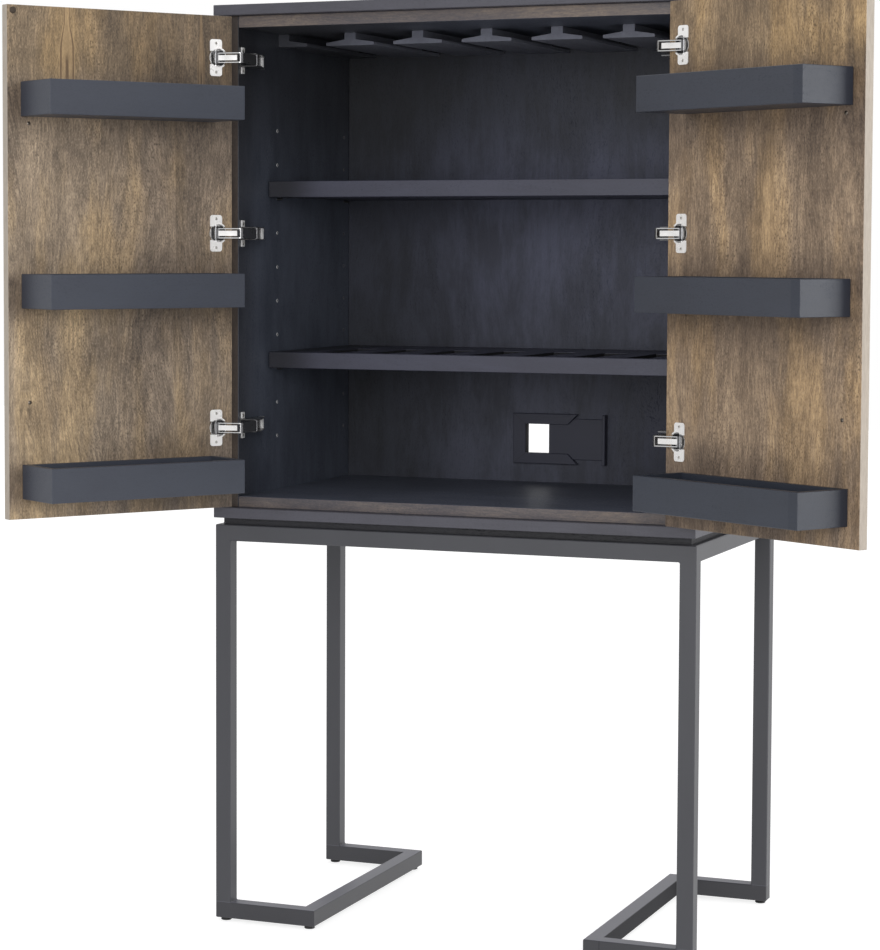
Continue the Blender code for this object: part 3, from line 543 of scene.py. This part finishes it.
def rail_painted_shade(tree, axes, colour):
    """The long faces are lighter than the front ends, and the rails at the left have painted shade, much
    darker.
    """
    long_face = calc(tree, "GREATER_THAN", axes[1], rail_front + 0.0006)
    colour = tinted(tree, long_face, colour, (1.55, 1.52, 1.45))
    left = fade(tree, axes[0], middle_x - 0.2, middle_x - 0.4)
    return tinted(tree, left, colour, (0.24, 0.24, 0.24)), 0.0


rail_stain = charcoal_board("rail_stain", (0.095, 0.101, 0.133, 1), (0.145, 0.153, 0.195, 1),
                            (math.radians(90), 0, 0), 9.0, 0.42, rail_painted_shade)
dress(shelf_stain, "upper_shelf", "lower_shelf")
dress(rail_stain, *[name for name in nodes if name.startswith("stemware_rail") or name.endswith("half_rail")])

# Doors. Oak-veneered slabs, brown-oiled on both faces with the grain upright, and edged with a paler solid
# lipping. Each is turned to its rest angle on its own upright axis. The veneer carries painted light and
# shade, and the right door's tones are paler as painted light.
swings = {joint["child"]: joint for joint in frame["joints"] if joint["name"].endswith("_door_swing")}
doors = {}
for side, label in ((-1, "left"), (1, "right")):
    joint = swings[f"{label}_door"]
    turn = Matrix.Rotation(side * math.radians(-joint["range_deg"][0]), 3, "Z")
    doors[label] = (side, np.array(joint["pos_m"]) * (1, 1, 0), np.array(turn))


def on_door(label, points):
    """Points given from the door's axis with the door shut, X towards the centre line, turned to rest."""
    side, axis, turn = doors[label]
    return (np.asarray(points, float) * (-side, 1, 1)) @ turn.T + axis


def shut_place(tree, label, place):
    """Object coordinates turned back to the shut door, measured from its axis."""
    side, axis, turn = doors[label]
    back = Matrix(turn.T.tolist())
    return shader_node(tree, "Mapping", {"Vector": place, "Rotation": back.to_euler(),
                                         "Location": -(back @ Vector(axis))}).outputs[0]


door_outside, door_inside = 0.0165, 0.0345
door_mid_depth = (door_outside + door_inside) / 2
door_hinge_edge, door_free_edge = -0.012, 0.4415


def flame(tree, axes, veneer, centre, top, foot, narrow, wide):
    """A flame of pale grain in a veneer. With u = |x - centre| / w(z), where w goes from narrow at the top to
    wide at the foot, the wood is pale inside u = 1.3, with a dark line at u = 1 and a dark heart from the
    foot down. It fades out 0.04 to 0.08 m below the foot, and shows on the inside of the door only."""
    low_part = fade(tree, axes[2], top, foot)
    width = calc(tree, "MULTIPLY_ADD", low_part, wide - narrow, narrow)
    off = calc(tree, "DIVIDE", calc(tree, "ABSOLUTE", calc(tree, "SUBTRACT", axes[0], centre)), width)
    inside = calc(tree, "GREATER_THAN", axes[1], door_mid_depth)
    upward = calc(tree, "MULTIPLY", fade(tree, axes[2], foot - 0.08, foot - 0.04), inside)
    pale = calc(tree, "MULTIPLY", fade(tree, off, 1.45, 1.20), upward)
    veneer = blend_colour(tree, calc(tree, "MULTIPLY", pale, 0.42), veneer, (0.52, 0.375, 0.235, 1))
    rim = fade(tree, calc(tree, "ABSOLUTE", calc(tree, "SUBTRACT", off, 1.0)), 0.19, 0.05)
    heart = calc(tree, "MULTIPLY", fade(tree, off, 0.38, 0.12),
                 fade(tree, axes[2], foot - 0.002, foot - 0.022))
    dark = calc(tree, "MULTIPLY", calc(tree, "MAXIMUM", heart, rim), upward)
    return blend_colour(tree, calc(tree, "MULTIPLY", dark, 0.80), veneer, (0.10, 0.062, 0.040, 1))


def painted_door_shading(tree, axes, veneer, label):
    """Painted light and shade on a door. It is lighter towards the free edge. Painted shade darkens it round
    the three trays: fully against a tray and down to nothing 0.13 m below it and 0.075 m above it, less so
    outward, and beside the tray's free end. Both doors have painted shade at the top, and the left one a
    little painted light low down."""
    paler_outward, dark, top = {"left": ((1.36, 1.36, 1.31), (0.66, 0.66, 0.68), (0.72, 0.68, 0.60)),
                       "right": ((1.45, 1.41, 1.34), (0.56, 0.56, 0.60), (0.92, 0.90, 0.81))}[label]
    outward = fade(tree, axes[0], 0.12, 0.33)
    veneer = tinted(tree, outward, veneer, paler_outward)
    veneer = tinted(tree, fade(tree, axes[2], 1.50, 1.58), veneer, top)
    if label == "left":
        veneer = tinted(tree, fade(tree, axes[2], 1.28, 1.12), veneer, (1.03, 1.04, 1.05))
    near = level = 0.0
    for row in (1, 2, 3):
        tray_low, tray_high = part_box(f"{label}_tray_{row}")
        level = calc(tree, "MAXIMUM", level, calc(
            tree, "MULTIPLY", fade(tree, axes[2], tray_low.z - 0.035, tray_low.z + 0.010),
            fade(tree, axes[2], tray_high.z + 0.020, tray_high.z - 0.020)))
        near = calc(tree, "MAXIMUM", near, calc(
            tree, "MULTIPLY", fade(tree, axes[2], tray_low.z - 0.13, tray_low.z),
            fade(tree, axes[2], tray_high.z + 0.075, tray_high.z - 0.005)))
    inside = calc(tree, "GREATER_THAN", axes[1], door_mid_depth)
    less_outward = calc(tree, "MULTIPLY_ADD", outward, -0.8, 1.0)
    near = calc(tree, "MULTIPLY", calc(tree, "MULTIPLY", near, inside), less_outward)
    veneer = tinted(tree, near, veneer, dark)
    beside = calc(tree, "MULTIPLY", calc(tree, "MULTIPLY", level, inside), fade(tree, axes[0], 0.375, 0.405))
    return tinted(tree, beside, veneer, (0.56, 0.54, 0.54))


lipping_skin, lipping_half = 0.0006, 0.0086
# The right door's tones are paler than the left's, painted light on the same oak.
right_lit_tones = ((0.170, 0.120, 0.082, 1), (0.320, 0.230, 0.154, 1), (0.54, 0.395, 0.262, 1))
for label, seed, tones in (("left", 21.3, oak_tones), ("right", 34.6, right_lit_tones)):
    oak, tree, shader, place = new_material(f"{label}_door_oak", Specular_IOR_Level=0.4)
    place = shut_place(tree, label, place)
    axes = axes_of(tree, place)
    figure = use_group(tree, oak_figure, Vector=place, Leaf_Width=0.152, Ring_Pitch=0.0058, Seed=seed)
    veneer = oak_colour(tree, figure, *tones)
    if label == "left":
        wander = calc(tree, "MULTIPLY", figure["Mottle"], 0.004)
        wandered = axes_of(tree, shader_node(tree, "VectorMath", {0: place, 1: wander},
                                             operation="ADD").outputs[0])
        veneer = flame(tree, wandered, veneer, centre=0.327, top=1.654, foot=1.598, narrow=0.0045,
                       wide=0.0122)
        veneer = flame(tree, wandered, veneer, centre=0.055, top=1.650, foot=1.580, narrow=0.0022,
                       wide=0.0060)
    # Painted light and shade, laid in by place on the door.
    veneer = painted_door_shading(tree, axes, veneer, label)
    at_free_edge = calc(tree, "GREATER_THAN", calc(tree, "ABSOLUTE", axes[0]), door_free_edge - lipping_skin)
    lipping = calc(tree, "MULTIPLY", at_free_edge, within(tree, axes[1], door_mid_depth, lipping_half))
    pale = blend_colour(tree, figure["Fibres"], (0.33, 0.280, 0.230, 1), (0.55, 0.485, 0.41, 1))
    join_shader(tree, shader, Base_Color=blend_colour(tree, lipping, veneer, pale),
                Roughness=line(tree, figure["Pores"], 0.2, 0.50),
                Normal=bumped(tree, figure["Height"], 0.00018, 0.6))
    dress(oak, f"{label}_door")
door_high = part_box("left_door")[1]


# Door bumpers and pull screws. A soft brown button glued to the inside of each door at its top free
# corner, and the two bronze pan heads of the screws that hold the pull from behind.
def crossed_screw(centre, axis, radius, depth=0.0009):
    """A pan head with a cross recess: height is a low dome, 0.35 R (1 - (r/R)^2), less the depth of the
    cross wherever the point lies within 0.17 R of either arm's middle and inside 0.73 R. The cross is
    turned by 30 degrees."""
    steps, dome_share, arm_share, cross_share, sunk_rim = 48, 0.35, 0.17, 0.73, 0.0006
    rings = np.concatenate([np.linspace(0.0, 0.72, 8), [0.735, 0.85, 0.94, 1.0, 1.0]])[:, None, None]
    turn = np.linspace(0.0, 2 * math.pi, steps, endpoint=False)[None, :, None]
    across, up = rings * np.cos(turn), rings * np.sin(turn)
    height = dome_share * radius * (1 - rings ** 2)
    in_cross = (np.minimum(abs(across), abs(up)) < arm_share) & (rings < cross_share)
    height = np.where(in_cross, height - depth, height)
    height[-1] = -sunk_rim
    axis = np.array(axis, float) / np.linalg.norm(axis)
    side_way = np.cross(axis, (0.0, 0.0, 1.0))
    side_way /= np.linalg.norm(side_way)
    tilted = np.cross(axis, side_way)
    cosine, sine = 0.866, 0.5
    first, second = side_way * cosine + tilted * sine, tilted * cosine - side_way * sine
    return np.array(centre) + radius * (across * first + up * second) + height * axis


brown_button, tree, shader, place = new_material("brown_button", Roughness=0.7)
speck = noise(tree, place, 2200.0, 1.0)
join_shader(tree, shader,
            Base_Color=blend_colour(tree, speck, (0.030, 0.020, 0.013, 1), (0.060, 0.042, 0.028, 1)))
bronze, tree, shader, place = new_material("bronze_plate", Metallic=1.0)
brushed = noise(tree, stretched(tree, place, (1800.0, 1800.0, 22.0)), 1.0, 2.0)
join_shader(tree, shader,
            Base_Color=blend_colour(tree, brushed, (0.10, 0.088, 0.075, 1), (0.19, 0.165, 0.14, 1)),
            Roughness=line(tree, brushed, 0.2, 0.28),
            Normal=bumped(tree, brushed, 0.00003, 0.3))
screw_steel, tree, shader, place = new_material("screw_steel", Metallic=1.0)
wear = noise(tree, place, 1500.0, 3.0)
join_shader(tree, shader, Base_Color=blend_colour(tree, wear, (0.46, 0.45, 0.43, 1), (0.66, 0.64, 0.61, 1)),
            Roughness=line(tree, wear, 0.2, 0.20))
dome = [(0.0, 0.0022), (0.0030, 0.0021), (0.0050, 0.0015), (0.0058, 0.0007), (0.0060, -0.0002),
        (0.0, -0.0002)]
button_from_edge, button_from_top = 0.0115, 0.0095
pull_from_edge, door_middle, pull_screw_spacing = 0.041, 1.22425, 0.484
screw_radius, head_gap = 0.0034, 0.0003
for label, (side, axis, turn) in doors.items():
    into_room = turn @ np.array((0.0, 1.0, 0.0))
    corner = on_door(label, (door_free_edge - button_from_edge, door_inside, door_high.z - button_from_top))
    make_skin(f"{label}_door_bumper", [turned(dome, corner, into_room)], brown_button, f"{label}_door")
    screws = [crossed_screw(on_door(label, (door_free_edge - pull_from_edge, door_inside + head_gap, z)),
                            into_room, screw_radius)
              for z in (door_middle - pull_screw_spacing / 2, door_middle + pull_screw_spacing / 2)]
    make_skin(f"{label}_pull_screws", screws, bronze, f"{label}_door")

# Door trays. Mitred boxes of charcoal-stained board with an open top, screwed on from behind, so no
# fixing shows. The stain is even. The right door's trays are painted darker as painted shade, most of all
# at their free ends and on the lowest tray.
free_end_start, lowest_top = 0.395, 0.95
# The right door's darker tones are painted shade on the same stain.
for label, seed, tones in (("left", 2.0, ((0.035, 0.040, 0.057, 1), (0.042, 0.049, 0.068, 1))),
                           ("right", 6.0, ((0.025, 0.029, 0.041, 1), (0.030, 0.035, 0.050, 1)))):
    tray_stain, tree, shader, place = new_material(f"{label}_tray_stain")
    place = shut_place(tree, label, place)
    axes = axes_of(tree, place)
    level = shader_node(tree, "Mapping", {"Vector": place, "Rotation": along_x}).outputs[0]
    figure = use_group(tree, oak_figure, Vector=level, Leaf_Width=0.12, Ring_Pitch=0.006, Seed=seed)
    tone = calc(tree, "ADD", calc(tree, "MULTIPLY", figure["Fibres"], 0.2),
                calc(tree, "MULTIPLY", figure["Smoke"], 0.8))
    colour = blend_colour(tree, fade(tree, tone, 0.3, 0.7), *tones)
    in_pores = calc(tree, "MULTIPLY", figure["Pores"], 0.10)
    colour = blend_colour(tree, in_pores, colour, (0.02, 0.021, 0.026, 1))
    # Painted shade at the right trays' free ends and on the lowest tray.
    if label == "right":
        free_end = calc(tree, "GREATER_THAN", calc(tree, "ABSOLUTE", axes[0]), free_end_start)
        colour = tinted(tree, free_end, colour, (0.70, 0.75, 0.82))
        colour = tinted(tree, calc(tree, "LESS_THAN", axes[2], lowest_top), colour, (0.80, 0.85, 0.90))
    join_shader(tree, shader, Base_Color=colour,
                Roughness=line(tree, figure["Pores"], 0.2, 0.44),
                Normal=bumped(tree, figure["Height"], 0.00008, 0.4))
    dress(tray_stain, *[f"{label}_tray_{row}" for row in (1, 2, 3)])

# Pulls. Square steel bars on two posts, screwed on from inside the doors. They are plated a dark bronze
# and brushed along the bar.
dress(bronze, "left_pull", "right_pull")

# Concealed hinges. Pressed and nickel-plated steel: cup with screw tabs, windowed link and channel arm
# on a wing plate. The plating is bright with a soft mottle from the pressing. The tabs and the arms' rear
# ends are satin and nearly white, in part a painted highlight. Painted shade darkens the cups, round the
# pins, the links' bends and the right door's arms.
hinge_heights = [(low.z + high.z) / 2 for low, high in
                 (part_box(f"left_hinge_cup_{name}") for name in ("lower", "middle", "upper"))]
pivots = {joint["child"]: joint["pos_m"] for joint in frame["joints"] if joint["name"].endswith("_link_turn")}
case_mouth, arm_rear = cap_low.y + 0.0215, cap_low.y + 0.1130
cup_rim, cup_reach, cup_half = door_inside - 0.0008, door_hinge_edge + 0.0355, 0.0130
tab_start, rail_start, strap_half = 0.0122, 0.0074, 0.0094
bend_from_pin, collar, washer, wear_end = 0.0466, 0.0030, 0.0052, 0.0125
slot_inner, slot_outer = 0.0047, 0.0075
for label in doors:
    nickel, tree, shader, place = new_material(f"{label}_hinge_nickel")
    axes, on_cup = axes_of(tree, place), axes_of(tree, shut_place(tree, label, place))
    heights = [calc(tree, "ABSOLUTE", calc(tree, "SUBTRACT", axes[2], height)) for height in hinge_heights]
    off_axis = calc(tree, "MINIMUM", heights[0], calc(tree, "MINIMUM", heights[1], heights[2]))
    tab = calc(tree, "GREATER_THAN", off_axis, tab_start)
    not_tab = calc(tree, "SUBTRACT", 1.0, tab)
    rails = calc(tree, "MULTIPLY", calc(tree, "GREATER_THAN", off_axis, rail_start), not_tab)
    arm_end = calc(tree, "GREATER_THAN", axes[1], arm_rear)
    in_case = calc(tree, "GREATER_THAN", axes[1], case_mouth)

    # Painted shade in the sunk cup, round the pin, in the link's bend and on the right door's arms.
    near_edge = calc(tree, "LESS_THAN", calc(tree, "ABSOLUTE", on_cup[0]), cup_reach)
    cup_shade = calc(tree, "MULTIPLY", calc(tree, "LESS_THAN", on_cup[1], cup_rim), near_edge)
    cup_shade = calc(tree, "MULTIPLY", cup_shade, calc(tree, "SUBTRACT", 1.0, in_case))
    cup_shade = calc(tree, "MULTIPLY", cup_shade, calc(tree, "LESS_THAN", off_axis, cup_half))

    pivot = pivots[f"{label}_hinge_links"]
    squares = [calc(tree, "POWER", calc(tree, "SUBTRACT", axes[way], pivot[way]), 2.0) for way in (0, 1)]
    from_pin = calc(tree, "SQRT", calc(tree, "ADD", *squares))
    bend = calc(tree, "MULTIPLY", calc(tree, "GREATER_THAN", from_pin, bend_from_pin), not_tab)
    pin_shade = calc(tree, "MULTIPLY", between(tree, from_pin, collar, wear_end),
                     calc(tree, "MAXIMUM", calc(tree, "LESS_THAN", from_pin, washer),
                          between(tree, off_axis, slot_inner, slot_outer)))
    on_strap = calc(tree, "MULTIPLY", calc(tree, "GREATER_THAN", on_cup[1], cup_rim),
                    calc(tree, "LESS_THAN", off_axis, strap_half))
    dark = calc(tree, "MAXIMUM", cup_shade, calc(tree, "MULTIPLY", bend, calc(tree, "SUBTRACT", 1.0, arm_end)))
    dark = calc(tree, "MAXIMUM", dark, calc(tree, "MULTIPLY", pin_shade, on_strap))
    # The tabs and arm ends are satin and nearly white, in part a painted highlight.
    satin = calc(tree, "MAXIMUM", tab, arm_end)
    if label == "right":
        dark = calc(tree, "MAXIMUM", dark, in_case)
        satin = calc(tree, "MAXIMUM", satin, calc(tree, "MULTIPLY", in_case, 1.4))

    smear = noise(tree, place, 60.0, 2.0)
    bright = blend_colour(tree, smear, (0.62, 0.61, 0.60, 1), (0.80, 0.79, 0.78, 1))
    for share, colour in ((tab, (0.95, 0.94, 0.93, 1)), (rails, (0.45, 0.45, 0.45, 1)),
                          (arm_end, (0.92, 0.92, 0.92, 1)), (dark, (0.16, 0.16, 0.165, 1))):
        bright = blend_colour(tree, share, bright, colour)
    join_shader(tree, shader, Base_Color=bright,
                Metallic=calc(tree, "SUBTRACT", 0.85, calc(tree, "MULTIPLY", satin, 0.60)),
                Roughness=calc(tree, "ADD", calc(tree, "MULTIPLY", smear, 0.20),
                               calc(tree, "MULTIPLY_ADD", arm_end, 0.3, 0.20)),
                Normal=bumped(tree, smear, 0.00010, 0.25))
    dress(nickel, *[name for name in nodes if name.startswith(f"{label}_hinge_")])
cup_screw_place, cup_screw_rise, tab_face = door_hinge_edge + 0.0345, 0.026, door_inside + 0.0008
plate_screw_depth, plate_screw_rise, plate_face = cap_low.y + 0.0369, 0.0178, side_face - 0.0026
recess = 0.0007
for label, (side, axis, turn) in doors.items():
    into_room = turn @ np.array((0.0, 1.0, 0.0))
    cup_screws = [crossed_screw(on_door(label, (cup_screw_place, tab_face, z + way * cup_screw_rise)),
                                into_room, screw_radius, recess) for z in hinge_heights for way in (-1, 1)]
    make_skin(f"{label}_cup_screws", cup_screws, screw_steel, f"{label}_door")
    plate = middle_x + side * plate_face
    plate_screws = [crossed_screw((plate, plate_screw_depth, z + way * plate_screw_rise), (-side, 0, 0),
                                  screw_radius, recess) for z in hinge_heights for way in (-1, 1)]
    make_skin(f"{label}_plate_screws", plate_screws, screw_steel, "cabinet")

# Cable hatch. A moulded charcoal frame glued over the way through the back board, with fine dark mitre
# lines between its stile and rails painted in as shade, and a sliding cover that stands partly open. The
# cut edge of the window is painted near black as painted shade.
hatch_plastic, tree, shader, place = new_material("hatch_plastic", Specular_IOR_Level=0.4)
grain = use_group(tree, powder_grain, Vector=place)
axes = axes_of(tree, place)
hatch_low, hatch_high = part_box("hatch_frame")
stile_width, rail_height = 0.0255, 0.0203
edge_ease, cut_slack, mitre_half = 0.0008, 0.0003, 0.0007
# Painted shade: the window's cut edge near black and the mitre lines dark.
from_window = calc(tree, "SUBTRACT", axes[0], hatch_low.x + stile_width)
window_edge_shade = calc(tree, "MULTIPLY", calc(tree, "LESS_THAN", calc(tree, "ABSOLUTE", from_window), cut_slack),
              calc(tree, "GREATER_THAN", axes[1], hatch_low.y + edge_ease))
off_middle = calc(tree, "ABSOLUTE", calc(tree, "SUBTRACT", axes[2], (hatch_low.z + hatch_high.z) / 2))
window_half = (hatch_high.z - hatch_low.z) / 2 - rail_height
sloped = calc(tree, "MULTIPLY", from_window, rail_height / stile_width)
off_mitre = calc(tree, "ABSOLUTE", calc(tree, "ADD", sloped, calc(tree, "SUBTRACT", off_middle, window_half)))
mitre = calc(tree, "MULTIPLY", calc(tree, "LESS_THAN", off_mitre, mitre_half),
             calc(tree, "LESS_THAN", from_window, 0.0))
moulded = blend_colour(tree, grain["Cloud"], (0.018, 0.0195, 0.033, 1), (0.026, 0.028, 0.048, 1))
moulded = blend_colour(tree, calc(tree, "MULTIPLY", mitre, 0.6), moulded, (0.007, 0.007, 0.010, 1))
satin = line(tree, grain["Height"], 0.2, 0.38)
join_shader(tree, shader, Base_Color=blend_colour(tree, window_edge_shade, moulded, (0.002, 0.002, 0.003, 1)),
            Roughness=calc(tree, "ADD", satin, window_edge_shade, clamp=True),
            Normal=bumped(tree, grain["Height"], 0.00003, 0.5))
dress(hatch_plastic, "hatch_frame", "hatch_cover")


# Floor and light. A pale floor that shows white to the camera but keeps the shadow, an even pale sky,
# and two large soft lamps, one at the right and a stronger one in front.
def seen_directly(tree):
    """1 for the rays of the camera, of mirrors and of glass, else 0."""
    ray = tree.nodes.new("ShaderNodeLightPath").outputs
    return calc(tree, "MAXIMUM", ray["Is Camera Ray"],
                calc(tree, "MAXIMUM", ray["Is Glossy Ray"], ray["Is Transmission Ray"]))


floor_paint, tree, shader, place = new_material("floor_paint", Roughness=0.8)
speck = noise(tree, place, 30.0, 2.0)
join_shader(tree, shader, Base_Color=blend_colour(tree, speck, (0.40, 0.40, 0.40, 1), (0.44, 0.44, 0.44, 1)))
glow_strength = calc(tree, "MULTIPLY", seen_directly(tree), 0.76)
glow = shader_node(tree, "Emission", {"Color": (1, 1, 1, 1), "Strength": glow_strength})
lit = shader_node(tree, "AddShader", {0: shader.outputs[0], 1: glow.outputs[0]})
tree.links.new(lit.outputs[0], tree.nodes["Material Output"].inputs["Surface"])
reach, cells = 14.0, 8
span = np.linspace(-reach, reach, cells + 1)
grid_x, grid_y = np.meshgrid(span, span, indexing="ij")
floor_points = np.stack([grid_x, grid_y, np.zeros_like(grid_x)], axis=-1).reshape(-1, 3)
row = cells + 1
first = (np.arange(cells)[:, None] * row + np.arange(cells)[None, :]).reshape(-1, 1)
floor_mesh = bpy.data.meshes.new("floor")
floor_mesh.from_pydata(floor_points.tolist(), [], (first + np.array((0, row, row + 1, 1))).tolist())
floor_mesh.materials.append(floor_paint)
floor = bpy.data.objects.new("floor", floor_mesh)
bpy.context.scene.collection.objects.link(floor)

world = bpy.data.worlds.new("studio")
bpy.context.scene.world = world
world.use_nodes = True
tree = world.node_tree
sky = tree.nodes["Background"]
sky.inputs["Color"].default_value = (1, 1, 1, 1)
sky.inputs["Strength"].default_value = 0.72
white = shader_node(tree, "Background", {"Color": (1, 1, 1, 1), "Strength": 1.0})
mixed = shader_node(tree, "MixShader", {0: seen_directly(tree), 1: sky.outputs[0], 2: white.outputs[0]})
tree.links.new(mixed.outputs[0], tree.nodes["World Output"].inputs["Surface"])


def soft_lamp(name, place, target, width, height, power):
    """A large rectangular lamp that faces a target."""
    data = bpy.data.lights.new(name, "AREA")
    data.shape = "RECTANGLE"
    data.size, data.size_y, data.energy = width, height, power
    lamp = bpy.data.objects.new(name, data)
    bpy.context.scene.collection.objects.link(lamp)
    lamp.location = place
    lamp.rotation_euler = (Vector(target) - Vector(place)).to_track_quat("-Z", "Y").to_euler()


soft_lamp("right_lamp", (3.5, 0.6, 1.4), (0.0, 0.0, 0.9), 2.0, 2.2, 42.0)
soft_lamp("front_lamp", (1.0, -4.4, 1.7), (0.0, 0.0, 1.1), 1.8, 1.8, 92.0)

# Camera. Solved from the photograph: a 104 mm lens 4.9 m away at chest height, with a shifted frame.
cabinet_front = Vector((middle_x, cap_low.y, 0.0))
yaw, pitch, roll = math.radians(22.832), math.radians(3.547), math.radians(0.118)
ahead = Vector((-math.sin(yaw) * math.cos(pitch), math.cos(yaw) * math.cos(pitch), -math.sin(pitch)))
right = Vector((math.cos(yaw), math.sin(yaw), 0.0))
above = right.cross(ahead)
rolled_right = right * math.cos(roll) + above * math.sin(roll)
rolled_above = above * math.cos(roll) - right * math.sin(roll)
camera = bpy.data.objects.new("camera", bpy.data.cameras.new("camera"))
bpy.context.scene.collection.objects.link(camera)
camera.data.sensor_width = 36.0
camera.data.lens = 104.055
camera.data.shift_x, camera.data.shift_y = 0.10880, -0.06333
facing = Matrix((rolled_right, rolled_above, -ahead)).transposed().to_4x4()
from_front = Vector((1.709416, -4.562186, 1.257945))
camera.matrix_world = Matrix.Translation(cabinet_front + from_front) @ facing
bpy.context.scene.camera = camera
bpy.context.scene.view_settings.view_transform = "Standard"
